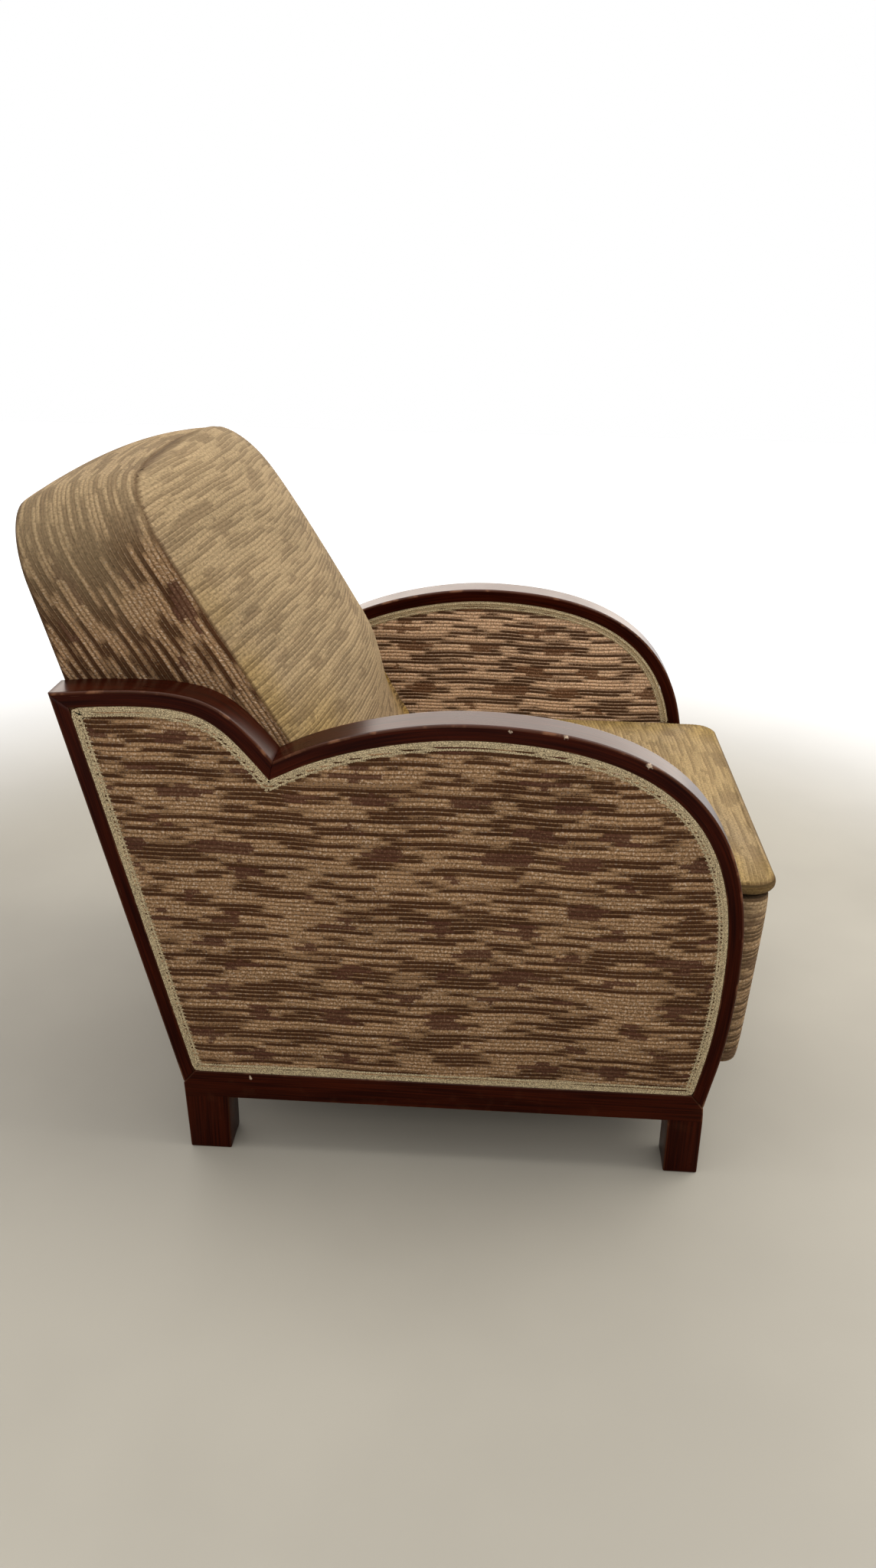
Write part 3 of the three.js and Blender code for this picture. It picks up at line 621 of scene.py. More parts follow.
def make_materials():
    """Every finish of the chair, by slot name."""
    group = ribbed_cloth_group()
    cloth, gimp = settings("armchair_cloth"), settings("armchair_gimp")
    tape_shade = [c * 0.5 for c in gimp.dark]
    return {
        "mahogany": wood_material(polished_wood_group()),
        "panel_cloth": cloth_material("panel_cloth", group, cloth.light, cloth.block),
        # painted light: a lighter copy of the panel cloth for the inside of the arms
        "inner_cloth_painted_lit": cloth_material("inner_cloth_painted_lit", group, cloth.inner_ribs_painted_lit, cloth.inner_blocks_painted_lit),
        "faded_cloth": cloth_material("faded_cloth", group, cloth.light, cloth.block),
        "gimp": fibre_material("gimp", gimp.light, gimp.dark, (900, 900, 900), 0.85, 0.3 * MM),
        "gimp_tape": fibre_material("gimp_tape", gimp.dark, tape_shade, (700, 700, 700), 0.9, 0.2 * MM),
        **{name: fibre_material(name, *values) for name, values in FIBRES.items()},
    }


MATERIALS = {}


def material(slot):
    """The finish of a slot; all of them are made when the first one is asked for."""
    if not MATERIALS:
        MATERIALS.update(make_materials())
    return MATERIALS[slot]


# ---------------------------------------------------------------- show wood
FLAT_STRIP = 0.8 * MM                   # kept flat beside each rounded edge
ARC_STEPS = 4                           # faces round each rounded edge
TOP_POLISH = 0.28                       # gloss left on the upper faces
UPWARDS = (0.25, 0.75)                  # a face is an upper one from the first to the second of these heights
WORN_TURN = (math.radians(16), math.radians(21))    # an edge is rubbed and takes its painted highlight from the first to the second
RIM_STEP = 6 * MM
BASE_EDGE_SHARE = 0.6                   # rounding of the rail and the feet against the rims' edges
BASE_SHARP = math.radians(35)


def rim_section(thickness, width, outer_radius, inner_radius):
    """Rounded rectangle, from the inner edge (0) to the outer edge (thickness) and across the arm."""
    rounded = [((0, 0), inner_radius), ((thickness, 0), outer_radius), ((thickness, width), outer_radius),
               ((0, width), inner_radius)]
    directions = [np.array(d, float) for d in ((0, -1), (1, 0), (0, 1), (-1, 0))]
    points = []
    for i, (corner, radius) in enumerate(rounded):
        coming, going = directions[i], directions[(i + 1) % 4]
        centre = np.array(corner) + (going - coming) * radius
        points.append(centre - going * radius - coming * FLAT_STRIP)
        for step in range(ARC_STEPS + 1):
            angle = math.pi / 2 * step / ARC_STEPS
            points.append(centre - going * radius * math.cos(angle) + coming * radius * math.sin(angle))
        points.append(centre + coming * radius + going * FLAT_STRIP)
    return np.array(points)


def mark_wear_and_highlight(mesh):
    """Marks the rounded edges, whose polish is rubbed and which take a painted highlight, and the upper
    faces, which hands keep glossy.
    """
    shell = bmesh.new()
    shell.from_mesh(mesh)
    shell.normal_update()
    polish = [TOP_POLISH * float(ease(vertex.normal.z, *UPWARDS)) for vertex in shell.verts]
    wear_and_highlight = []
    for vertex in shell.verts:
        turns = [e.calc_face_angle(0.0) for e in vertex.link_edges if e.smooth]
        wear_and_highlight.append(float(ease(max(turns, default=0.0), *WORN_TURN)))
    shell.free()
    set_value(mesh, "wear_and_highlight", wear_and_highlight)
    set_value(mesh, "polish", polish)


def tube_faces(rings, count):
    """Quads between rings of count vertices each, the first ring's vertices coming first."""
    faces = []
    for ring in range(rings - 1):
        for i in range(count):
            here, beside = ring * count + i, ring * count + (i + 1) % count
            faces.append((here, beside, beside + count, here + count))
    return faces


def sweep_rim(node, side, centre):
    """Builds one curved rim from its CAD outline, with rounded edges and the grain along it."""
    wood = settings("armchair_wood")
    outer, inner = smooth_runs(two_runs(cap_loops(node, side)[0], centre), RIM_STEP)
    lo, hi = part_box(node)
    thickness = np.linalg.norm(outer - inner, axis=1).min()
    section = rim_section(thickness, hi.x - lo.x, wood.edge_radius, wood.inner_radius)
    along, around = length_along(outer), length_along(section)
    vertices, grain = [], []
    for place, start, end in zip(along, inner, outer):
        for turn, (reach, across) in zip(around, section):
            y, z = start + (end - start) * (reach / thickness)
            vertices.append((lo.x + across, y, z))
            grain.append((place, turn))
    count = len(section)
    last = (len(along) - 1) * count
    faces = [*tube_faces(len(along), count), tuple(range(count)), tuple(range(last, last + count))]
    piece = new_object(node + "_polished", vertices, faces, material("mahogany"))
    face_outwards(piece.data)
    set_uv(piece.data, "grain", grain)
    for edge in piece.data.edges:
        low, high = sorted(edge.vertices)
        edge.use_edge_sharp = high < count or low >= last
    mark_wear_and_highlight(piece.data)
    return place_piece(piece, "mahogany", node)


def end_points(loop, top):
    """The two points of a loop at the top or the bottom of its height, rear one first."""
    order = sorted(loop, key=lambda p: -p[1] if top else p[1])[:2]
    return sorted(order, key=lambda p: -p[0])


def base_outline(name, side):
    """Outline of the bottom rail with both feet, as one closed line of (y, z) from the rear."""
    rail, rear_foot, front_foot = (cap_loops(f"{name}_{part}", side)[0]
                                   for part in ("bottom_rail", "rear_foot", "front_foot"))
    (_, rail_low), rail_front = end_points(rail, False)
    upper = sorted((p for p in rail if p[1] > rail_low + 1 * MM), key=lambda p: p[0])
    line = []
    for foot in (rear_foot, front_foot):
        (rear_top, front_top), (rear_low, front_low) = end_points(foot, True), end_points(foot, False)
        line += [(rear_top[0], rail_low), rear_low, front_low, (front_top[0], rail_low)]
    return np.array([*line[:-1], rail_front, *upper])


def build_base(name, side):
    """The bottom rail and its two feet, flush with each other, with softened edges."""
    nodes = [f"{name}_{part}" for part in ("bottom_rail", "rear_foot", "front_foot")]
    lo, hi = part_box(nodes[0])
    solid = bmesh.new()
    face = solid.faces.new([solid.verts.new((lo.x, y, z)) for y, z in base_outline(name, side)])
    made = bmesh.ops.extrude_face_region(solid, geom=[face])["geom"]
    far_side = [part for part in made if isinstance(part, bmesh.types.BMVert)]
    bmesh.ops.translate(solid, verts=far_side, vec=(hi.x - lo.x, 0, 0))
    bmesh.ops.recalc_face_normals(solid, faces=solid.faces)
    rounding = settings("armchair_wood").edge_radius * BASE_EDGE_SHARE
    bmesh.ops.bevel(solid, geom=solid.edges[:], offset=rounding, segments=3, profile=0.5, affect="EDGES",
                    clamp_overlap=True)
    bmesh.ops.triangulate(solid, faces=[f for f in solid.faces if len(f.verts) > 4])
    mesh = bpy.data.meshes.new(f"{name}_base_polished")
    solid.to_mesh(mesh)
    solid.free()
    mesh.materials.append(material("mahogany"))
    piece = add_object(mesh.name, mesh)
    mesh.polygons.foreach_set("use_smooth", [True] * len(mesh.polygons))
    mesh.set_sharp_from_angle(angle=BASE_SHARP)
    foot_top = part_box(nodes[1])[1].z
    layer = mesh.uv_layers.new(name="grain")
    for face in mesh.polygons:
        in_foot = face.center.z < foot_top
        is_side = abs(face.normal.x) >= 0.7
        for loop in face.loop_indices:
            x, y, z = mesh.vertices[mesh.loops[loop].vertex_index].co
            along, over = (z, y) if in_foot else (y, z)
            layer.data[loop].uv = (along, over if is_side else x)
    mark_wear_and_highlight(mesh)
    return place_piece(piece, "mahogany", *nodes)


# ---------------------------------------------------------------- ribbed cloth patches
RIB_PHASES = (0.0, 0.2, 0.5, 0.8)       # points across one rib: its gap, two shoulders and its top
OUTLINE_STEP = 4 * MM
EDGE_CLEARANCE = 0.6 * MM               # points inside a patch stay this far from its edge
FLAT_EDGE = 3 * MM                      # ribs rise to their full height over this distance
SAME_POINT = 1e-7                       # for the triangulation
WANDER = ((1.3 * MM, 0.31, 7), (0.5 * MM, 0.093, 31))   # the ribs' waves: height, length and slant
EDGE_CROWDING = 0.94                    # 0 spaces a crowned pad's columns evenly, 1 crowds its sides most


def rib_wave(along, across):
    """How far the ribs wander, as in a handwoven cloth pulled over a frame."""
    return sum(height * np.sin(2 * math.pi * along / length + slant * across)
               for height, length, slant in WANDER)


def edge_distance(points, outline):
    """How far each point lies from a closed outline."""
    best = np.full(len(points), np.inf)
    for start, end in zip(outline, np.roll(outline, -1, axis=0)):
        line = end - start
        t = np.clip(((points - start) @ line) / max(line @ line, 1e-18), 0, 1)
        best = np.minimum(best, np.hypot(*(points - start - t[:, None] * line).T))
    return best


def is_inside(points, outline):
    """Whether each point lies inside a closed outline."""
    x, y = points.T
    odd = np.zeros(len(points), dtype=bool)
    for (ax, ay), (bx, by) in zip(outline, np.roll(outline, -1, axis=0)):
        if ay != by:
            odd ^= ((ay > y) != (by > y)) & (x < (bx - ax) * (y - ay) / (by - ay) + ax)
    return odd


def even_outline(outline, step=OUTLINE_STEP):
    """Cuts long edges of a closed outline into even steps."""
    parts = []
    for start, end in zip(outline, np.roll(outline, -1, axis=0)):
        pieces = max(1, math.ceil(np.linalg.norm(end - start) / step))
        parts.append(start + (end - start) * np.arange(pieces)[:, None] / pieces)
    return np.vstack(parts)


def outline_normals(outline):
    """Outward directions of an anticlockwise outline's points."""
    line = np.roll(outline, -1, axis=0) - np.roll(outline, 1, axis=0)
    return unit(np.stack([line[:, 1], -line[:, 0]], axis=1))


def fill_outline(edge, lattice):
    """Fills a closed edge with triangles through a lattice.

    Returns the points, the faces and each point's number in the edge followed by the lattice."""
    points, _, faces, origins, _, _ = delaunay_2d_cdt(
        [Vector(p) for p in np.vstack([edge, lattice])], [], [list(range(len(edge)))], 1, SAME_POINT)
    source = np.array([numbers[0] for numbers in origins])
    return np.array([tuple(p) for p in points]), [tuple(f) for f in faces], source


def rib_lattice(edge, columns, pitch):
    """Points on the ribs inside an edge, their measure across the ribs and their distance from the edge."""
    low, high = edge[:, 1].min(), edge[:, 1].max()
    ribs = np.arange(math.floor(low / pitch) - 2, math.ceil(high / pitch) + 2)
    rows = (ribs[:, None] + np.array(RIB_PHASES)).ravel() * pitch
    u, v = (grid.ravel() for grid in np.meshgrid(columns, rows))
    lattice = np.stack([u, v - rib_wave(u, v)], axis=1)
    inside = is_inside(lattice, edge)
    lattice, v = lattice[inside], v[inside]
    distance = edge_distance(lattice, edge)
    clear = distance > EDGE_CLEARANCE
    return lattice[clear], v[clear], distance[clear]


def ribbed_patch(name, outline, place, slot, columns, skirt, fade, lift, relief=1.0, stain=None):
    """A closed padded piece whose face carries real ribs.

    outline is closed, in metres along and across the ribs. place(points, out) gives the points' places,
    lifted out of the face. skirt lists (outwards, behind) for the rings that close the piece behind its edge.
    fade(points), stain(points) and lift(points, distance to the edge) are values for each point."""
    cloth = settings("armchair_cloth")
    following_points = np.roll(outline, -1, axis=0)
    area = (outline[:, 0] * following_points[:, 1] - outline[:, 1] * following_points[:, 0]).sum()
    edge = even_outline(outline if area > 0 else outline[::-1])
    count = len(edge)
    lattice, rows, distance = rib_lattice(edge, columns, cloth.rib_pitch)
    points, faces, source = fill_outline(edge, lattice)
    across = np.concatenate([edge[:, 1] + rib_wave(edge[:, 0], edge[:, 1]), rows])[source]
    distance = np.concatenate([np.zeros(count), distance])[source]
    phase = np.mod(across / cloth.rib_pitch, 1)
    profile = 1 - np.abs(2 * phase - 1) ** 3
    out = relief * cloth.rib_relief * profile * np.clip(distance / FLAT_EDGE, 0, 1)
    vertices = [place(points, out + lift(points, distance))]
    maps = [np.stack([points[:, 0], across], axis=1)]

    # the skirt's rings follow the edge, whose vertices are found by their numbers in the edge
    is_edge = source < count
    ring = np.empty(count, dtype=int)
    ring[source[is_edge]] = np.flatnonzero(is_edge)
    normals, length = outline_normals(edge), length_along(edge)
    total, down, previous = len(points), 0.0, (0.0, 0.0)
    for outwards, behind in skirt:
        vertices.append(place(edge + normals * outwards, np.full(count, -behind)))
        down += math.hypot(outwards - previous[0], behind - previous[1])
        maps.append(np.stack([length, np.full(count, -down)], axis=1))
        following = total + np.arange(count)
        quads = zip(ring, following, np.roll(following, -1), np.roll(ring, -1))
        faces += [tuple(int(i) for i in quad) for quad in quads]
        ring, total, previous = following, total + count, (outwards, behind)
    faces.append(tuple(int(i) for i in ring[::-1]))

    piece = new_object(name, np.vstack(vertices), faces, material(slot))
    face_outwards(piece.data)
    skirt_points = np.tile(edge, (len(skirt), 1))
    all_points = np.vstack([points, skirt_points])
    set_uv(piece.data, "weave", np.vstack(maps))
    set_value(piece.data, "edge", np.concatenate([distance, np.zeros(len(skirt_points))]))
    set_value(piece.data, "fade", fade(all_points))
    if stain is not None:
        set_value(piece.data, "stain", stain(all_points))
    return piece


def even_columns(low, high, step):
    """Columns from low to high, about a step apart."""
    return np.linspace(low, high, max(2, round((high - low) / step)) + 1)


def crowded_columns(half, step):
    """Columns across a crowned pad, closer together towards both sides."""
    turn = np.linspace(-1, 1, round(2 * half / step) + 1) * math.pi / 2 * EDGE_CROWDING
    return half * np.sin(turn) / math.sin(math.pi / 2 * EDGE_CROWDING)


# ---------------------------------------------------------------- side panels and gimp
PANEL_ROUNDING = 0.045                  # a panel's stuffing rises over this distance from its edge
TAPE_HALF_WIDTH = 6.6 * MM
TAPE_THICKNESS = 0.9 * MM
TAPE_CORNERS = ((-1, 0), (1, 0), (1, 1), (-1, 1))   # across the tape and up from the cloth
STITCH_SIZE = (5.0 * MM, 2.9 * MM, 2.4 * MM)
STITCH_MIDDLE = 1.3 * MM                # above the cloth
STITCH_WOBBLE = 0.22
STITCH_SIZES = (0.85, 1.15)             # smallest and largest stitch
PATH_STEP = 3 * MM


def panel_centre():
    """Middle of a side frame, as (y, z)."""
    lo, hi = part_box("right_outer_panel")
    return np.array([(lo.y + hi.y) / 2, (lo.z + hi.z) / 2])


def side_panel(node, side, outwards, bulge, faded, finish):
    """Padded cloth panel of one side frame; outwards is +1 on the outside and -1 on the inside."""
    facing = side * outwards
    lo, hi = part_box(node)
    face = hi.x if facing > 0 else lo.x
    outline = cap_loops(node, facing)[0] * (-1, 1)

    def place(points, out):
        return np.stack([face + facing * out, -points[:, 0], points[:, 1]], axis=1)

    def lift(points, distance):
        return bulge * (1 - np.exp(-distance / PANEL_ROUNDING))

    columns = even_columns(outline[:, 0].min(), outline[:, 0].max(), settings("armchair_cloth").column)
    piece = ribbed_patch(node + "_upholstered", outline, place, finish, columns,
                         [(0.0, hi.x - lo.x - 0.5 * MM)], lambda points: np.full(len(points), faded), lift)
    return place_piece(piece, "panel_cloth", node)


def gimp_tree():
    """Two rows of slanted stitches along a path."""
    tree = bpy.data.node_groups.new("Gimp stitches", "GeometryNodeTree")
    inputs = {"Path": "Geometry", "Pitch": "Float", "Row Offset": "Float", "Slant": "Float",
              "Stitch Size": "Vector", "Outwards": "Vector", "Seed": "Int", "Yarn": "Material"}
    for label, kind in inputs.items():
        tree.interface.new_socket(label, in_out="INPUT", socket_type="NodeSocket" + kind)
    tree.interface.new_socket("Stitches", in_out="OUTPUT", socket_type="NodeSocketGeometry")
    given = tree.nodes.new("NodeGroupInput").outputs
    result = tree.nodes.new("NodeGroupOutput").inputs
    s = Sums(tree)

    def geometry(kind, values, **options):
        return add_node(tree, "GeometryNode" + kind, values, **options).outputs[0]

    def vector_math(operation, values):
        return add_node(tree, "ShaderNodeVectorMath", values, operation=operation).outputs[0]

    def scaled(vector, factor):
        return vector_math("SCALE", {0: vector, "Scale": factor})

    def random_vector(low, high, seed):
        values = {"Min": (low,) * 3, "Max": (high,) * 3, "Seed": s.plus(given["Seed"], seed)}
        return add_node(tree, "FunctionNodeRandomValue", values, data_type="FLOAT_VECTOR").outputs[0]

    path = geometry("MeshToCurve", {"Mesh": given["Path"]})
    path = geometry("ResampleCurve", {"Curve": path, "Length": given["Pitch"]}, mode="LENGTH")
    ball = geometry("MeshUVSphere", {"Segments": 6, "Rings": 4, "Radius": 0.5})
    stitch = geometry("Transform", {"Geometry": ball, "Scale": given["Stitch Size"]})
    tangent = tree.nodes.new("GeometryNodeInputTangent").outputs[0]
    sideways = vector_math("CROSS_PRODUCT", [given["Outwards"], tangent])
    join = tree.nodes.new("GeometryNodeJoinGeometry")
    for row in (-1.0, 1.0):
        offset = scaled(sideways, s.times(given["Row Offset"], row))
        half_step = scaled(tangent, s.times(given["Pitch"], 0.25 * row))
        points = geometry("SetPosition",
                          {"Geometry": path, "Offset": vector_math("ADD", [offset, half_step])})
        lean = scaled(sideways, s.times(s.do("SINE", given["Slant"]), row))
        onwards = scaled(tangent, s.do("COSINE", given["Slant"]))
        direction = vector_math("ADD", [onwards, lean])
        wobble = random_vector(-STITCH_WOBBLE, STITCH_WOBBLE, row)
        turned = add_node(tree, "FunctionNodeAxesToRotation",
                          [vector_math("ADD", [direction, wobble]), given["Outwards"]],
                          primary_axis="X", secondary_axis="Z").outputs[0]
        placed = geometry("InstanceOnPoints", {"Points": points, "Instance": stitch, "Rotation": turned,
                                               "Scale": random_vector(*STITCH_SIZES, 7.0 * row)})
        tree.links.new(placed, join.inputs[0])
    real = geometry("RealizeInstances", {"Geometry": join.outputs[0]})
    tree.links.new(geometry("SetMaterial", {"Geometry": real, "Material": given["Yarn"]}), result[0])
    return tree


def run_tree(piece, tree, values):
    """Adds a Geometry Nodes modifier, sets its inputs by identifier and makes the result a plain mesh."""
    modifier = piece.modifiers.new(tree.name, "NODES")
    modifier.node_group = tree
    names = {item.name: item.identifier for item in tree.interface.items_tree if item.in_out == "INPUT"}
    for label, value in values.items():
        modifier[names[label]] = value
    plain_mesh(piece)


def add_tape(mesh, path, closed, base, facing):
    """Adds the flat tape below the stitches, with the mesh's second material."""
    normal = outline_normals(path)
    if not closed:
        for end, line in ((0, path[1] - path[0]), (-1, path[-1] - path[-2])):
            normal[end] = np.array([line[1], -line[0]]) / np.linalg.norm(line)
    braid = bmesh.new()
    braid.from_mesh(mesh)
    for face in braid.faces:
        face.smooth = True
    rings = []
    for place, across in zip(path, normal):
        ring = []
        for reach, height in TAPE_CORNERS:
            y, z = place + across * reach * TAPE_HALF_WIDTH
            ring.append(braid.verts.new((base + facing * height * TAPE_THICKNESS, y, z)))
        rings.append(ring)
    pairs = zip(rings, rings[1:] + rings[:1]) if closed else zip(rings, rings[1:])
    tape = [braid.faces.new((a[i], a[(i + 1) % 4], b[(i + 1) % 4], b[i])) for a, b in pairs for i in range(4)]
    if not closed:
        tape += [braid.faces.new(rings[0]), braid.faces.new(rings[-1])]
    bmesh.ops.recalc_face_normals(braid, faces=tape)
    for face in tape:
        face.material_index = 1
    braid.to_mesh(mesh)
    braid.free()
    mesh.materials.append(material("gimp_tape"))


def gimp_braid(name, node, path, closed, facing, tree):
    """One braid: a flat tape with two rows of stitches on it, along a path of (y, z)."""
    gimp = settings("armchair_gimp")
    lo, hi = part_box(node)
    base = lo.x if facing > 0 else hi.x
    count = len(path)
    edges = [(i, (i + 1) % count) for i in range(count if closed else count - 1)]
    mesh = bpy.data.meshes.new(name)
    mesh.from_pydata([(base + facing * STITCH_MIDDLE, y, z) for y, z in path], edges, [])
    piece = add_object(name, mesh)
    run_tree(piece, tree, {"Pitch": gimp.pitch, "Row Offset": gimp.row_offset, "Slant": gimp.slant,
                           "Stitch Size": STITCH_SIZE, "Outwards": (float(facing), 0.0, 0.0),
                           "Seed": gimp.seed, "Yarn": material("gimp")})
    add_tape(piece.data, path, closed, base, facing)
    return place_piece(piece, "gimp", node)


# ---------------------------------------------------------------- stuffing
FORM_STEP = 12 * MM                     # between the points of a pad to simulate
FORM_DEPTH = 0.03
SLACK_SHARE = 0.6                       # how much of its cap a pad starts below its drawn face
PUFF_FRAMES = 20
PUFF_VOXEL = 6 * MM
PUFF_PRESSURE = 4.0
RAY_START = 0.15                        # above a pad's seams
SEAM_WIDTH = 6 * MM                     # where the drawn face is lower than this, it is kept


def coordinates(mesh):
    """Places of a mesh's vertices."""
    return np.array([tuple(v.co) for v in mesh.vertices])


def plain_form(name, outline, place, lift):
    """A coarse closed pad to simulate: a lifted face over an outline, closed at a distance behind it."""
    edge = even_outline(outline, FORM_STEP)
    low, high = edge.min(axis=0), edge.max(axis=0)
    columns, rows = (np.arange(low[axis], high[axis], FORM_STEP) for axis in (0, 1))
    lattice = np.stack([grid.ravel() for grid in np.meshgrid(columns, rows)], axis=1)
    lattice = lattice[is_inside(lattice, edge)]
    lattice = lattice[edge_distance(lattice, edge) > FORM_STEP * 0.4]
    points, faces, _ = fill_outline(edge, lattice)
    count, total = len(edge), len(points)
    front = place(points, lift(points))
    back = place(edge, np.full(count, -FORM_DEPTH))
    faces += [(i, (i + 1) % count, total + (i + 1) % count, total + i) for i in range(count)]
    faces.append(tuple(total + i for i in range(count)))
    form = new_object(name, np.vstack([front, back]), faces, material("hessian"))
    face_outwards(form.data)
    return form


def puffed(form, cap, is_held):
    """Swells a closed form by cloth simulation; no point moves further than cap. Returns a search tree."""
    remesh = form.modifiers.new("Even", "REMESH")
    remesh.mode = "VOXEL"
    remesh.voxel_size = PUFF_VOXEL
    plain_mesh(form)
    mesh = form.data
    rest = coordinates(mesh)
    held = form.vertex_groups.new(name="held")
    held.add([int(i) for i in np.flatnonzero(is_held(rest))], 1.0, "REPLACE")
    cloth = form.modifiers.new("Stuffing", "CLOTH")
    cloth.settings.use_pressure = True
    cloth.settings.uniform_pressure_force = PUFF_PRESSURE
    cloth.settings.vertex_group_mass = "held"
    cloth.settings.effector_weights.gravity = 0.0
    cloth.point_cache.frame_start = 1
    cloth.point_cache.frame_end = PUFF_FRAMES
    scene = bpy.context.scene
    for number in range(1, PUFF_FRAMES + 1):
        scene.frame_set(number)
        bpy.context.evaluated_depsgraph_get().update()
    shift = coordinates(form.evaluated_get(bpy.context.evaluated_depsgraph_get()).data) - rest
    scene.frame_set(1)
    reach = np.linalg.norm(shift, axis=1, keepdims=True)
    final = rest + shift * np.minimum(1, cap / np.maximum(reach, 1e-9))
    form.modifiers.clear()
    mesh.vertices.foreach_set("co", final.astype(np.float32).ravel())
    mesh.update()
    surface = bmesh.new()
    surface.from_mesh(mesh)
    bmesh.ops.smooth_vert(surface, verts=surface.verts, factor=0.5, use_axis_x=True, use_axis_y=True,
                          use_axis_z=True)
    tree = BVHTree.FromBMesh(surface)
    surface.free()
    bpy.data.objects.remove(form)
    bpy.data.meshes.remove(mesh)
    return tree


def heights_above(tree, starts, direction):
    """Distance from each start's own seam up to the surface; direction points into the surface."""
    direction = Vector(direction)
    hits = [tree.ray_cast(Vector(start), direction, RAY_START)[3] for start in starts]
    return np.array([np.nan if hit is None else RAY_START - hit for hit in hits])


def pad_heights(name, outline, place, crown, cap, outwards, held_below):
    slack = SLACK_SHARE * cap
    form = plain_form(name + "_form", outline, place, lambda points: np.maximum(crown(points) - slack, 0))
    origin = place(np.zeros((1, 2)), np.zeros(1))[0]
    tree = puffed(form, cap, lambda rest: (rest - origin) @ outwards < held_below)

    def simulated(points):
        drawn = crown(points)
        high = heights_above(tree, place(points, np.full(len(points), RAY_START)), -outwards)
        high = np.where(np.isnan(high), drawn, high)
        share = ease(drawn, 0.0, SEAM_WIDTH)
        return np.clip(high, drawn - slack, drawn + cap) * share + drawn * (1 - share)

    return simulated


def round_corner(x, y, radius, turns):
    """Points round a corner, from its side at x to its top at y."""
    return [(x - radius + radius * math.cos(turn), y - radius + radius * math.sin(turn)) for turn in turns]


def crowned_top(xs, top, half, crown):
    """Points of a slightly crowned top, level at half to both sides."""
    return [(x, top + crown * (1 - (x / half) ** 2)) for x in xs]


def rounded_top(half, bottom, top, radius, crown):
    """Outline with square bottom corners, round top corners and a slightly crowned top, anticlockwise."""
    steps = 14
    right = round_corner(half, top, radius, [math.pi / 2 * i / steps for i in range(steps + 1)])
    flat = np.linspace(half - radius, radius - half, 2 * steps + 1)[1:-1]
    left = [(-x, y) for x, y in reversed(right)]
    return np.array([(-half, bottom), (half, bottom), *right,
                     *crowned_top(flat, top, half - radius, crown), *left])


# ---------------------------------------------------------------- back
class BackShape:
    """The reclined back's seam plane, its two arches and its crown, worked out from the frame."""

    TOP_CROWN = 11 * MM                 # how much higher the seam's middle is than its corners
    REAR_CROWN = 7 * MM                 # the same on the rear panel
    SEAT_REACH = 18 * MM                # how far the face runs down into the seat's crease
    REAR_SETBACK = 8 * MM               # of the rear panel's foot
    SHOULDER_SETBACK = 2 * MM
    RULINGS = 60                        # points on each straight part of half an arch

    def __init__(self):
        back = settings("armchair_back")
        lo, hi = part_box("back_band")
        self.half, self.corner, self.rear_corner = hi.x, back.corner, back.rear_corner
        self.crown_height = back.crown
        self.up = np.array([0, math.sin(back.lean), math.cos(back.lean)])
        self.out = np.array([0, -math.cos(back.lean), math.sin(back.lean)])
        self.origin = np.array([0, lo.y, lo.z])
        self.bottom = lo.z
        self.top = (hi.z - lo.z) / math.cos(back.lean) - self.TOP_CROWN
        panel_lo, panel_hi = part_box("outer_back")
        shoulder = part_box("right_rear_post")[1]
        self.rear_top = panel_hi.z
        self.rear_z = [panel_lo.z, shoulder.z, panel_hi.z]
        self.rear_y = [panel_lo.y + self.REAR_SETBACK, shoulder.y - self.SHOULDER_SETBACK, panel_hi.y]

    def on_face(self, points, out):
        """Places of points across and up the front seam's plane."""
        return (self.origin + points[:, :1] * (1, 0, 0) + points[:, 1:] * self.up
                + np.asarray(out)[:, None] * self.out)

    def on_rear(self, points, out):
        """Places of points (x, z) on the bent rear panel."""
        y = np.interp(points[:, 1], self.rear_z, self.rear_y)
        return np.stack([points[:, 0], y + out, points[:, 1]], axis=1)

    def crown(self, points):
        """Height of the stuffed face over the seam's plane."""
        across, up = np.abs(points[:, 0]), points[:, 1]
        r = self.corner
        above = np.clip(up - (self.top - r), 0, r)
        half = self.half - r + np.sqrt(np.maximum(r * r - above * above, 1e-12))
        beyond = np.clip(across - (self.half - r), 0, r)
        top = self.top - r + np.sqrt(np.maximum(r * r - beyond * beyond, 1e-12))
        top = top + self.TOP_CROWN * np.clip(1 - (across / (self.half - r)) ** 2, 0, 1)
        share = np.clip(across / half, 0, 1)
        below = np.maximum(top - up, 0)
        # a broad crown whose last sixth drops steeply to the side seams
        sides = 0.842 * (1 - share ** 2.3) + 0.158 * (1 - np.exp(-(1 - share) * 28))
        # full a hand below the top seam, and thin where it goes behind the seat
        head = (1 - 0.57 * np.exp(-below / 0.042)) * (1 - np.exp(-below / 0.0022))
        foot = 0.3 + 0.7 * ease(up, 0, 0.18)
        return self.crown_height * sides * head * foot

    def arch(self, half, bottom, top, radius, crown):
        """Points up the right side, round the top and down the left side."""
        side = [(half, z) for z in np.linspace(bottom, top - radius, self.RULINGS + 1)[:-1]]
        corner = round_corner(half, top, radius, np.linspace(0, math.pi / 2, self.RULINGS // 2 + 1))
        flat = np.linspace(half - radius, 0, self.RULINGS + 1)[1:]
        one = np.array([*side, *corner, *crowned_top(flat, top, half - radius, crown)])
        return np.vstack([one, one[-2::-1] * (-1, 1)])

    def rulings(self):
        """Matching points along the front seam and the rear edge."""
        front = self.arch(self.half, 0.0, self.top, self.corner, self.TOP_CROWN)
        rear = self.arch(self.half, self.bottom, self.rear_top, self.rear_corner, self.REAR_CROWN)
        return self.on_face(front, np.zeros(len(front))), self.on_rear(rear, np.zeros(len(rear)))


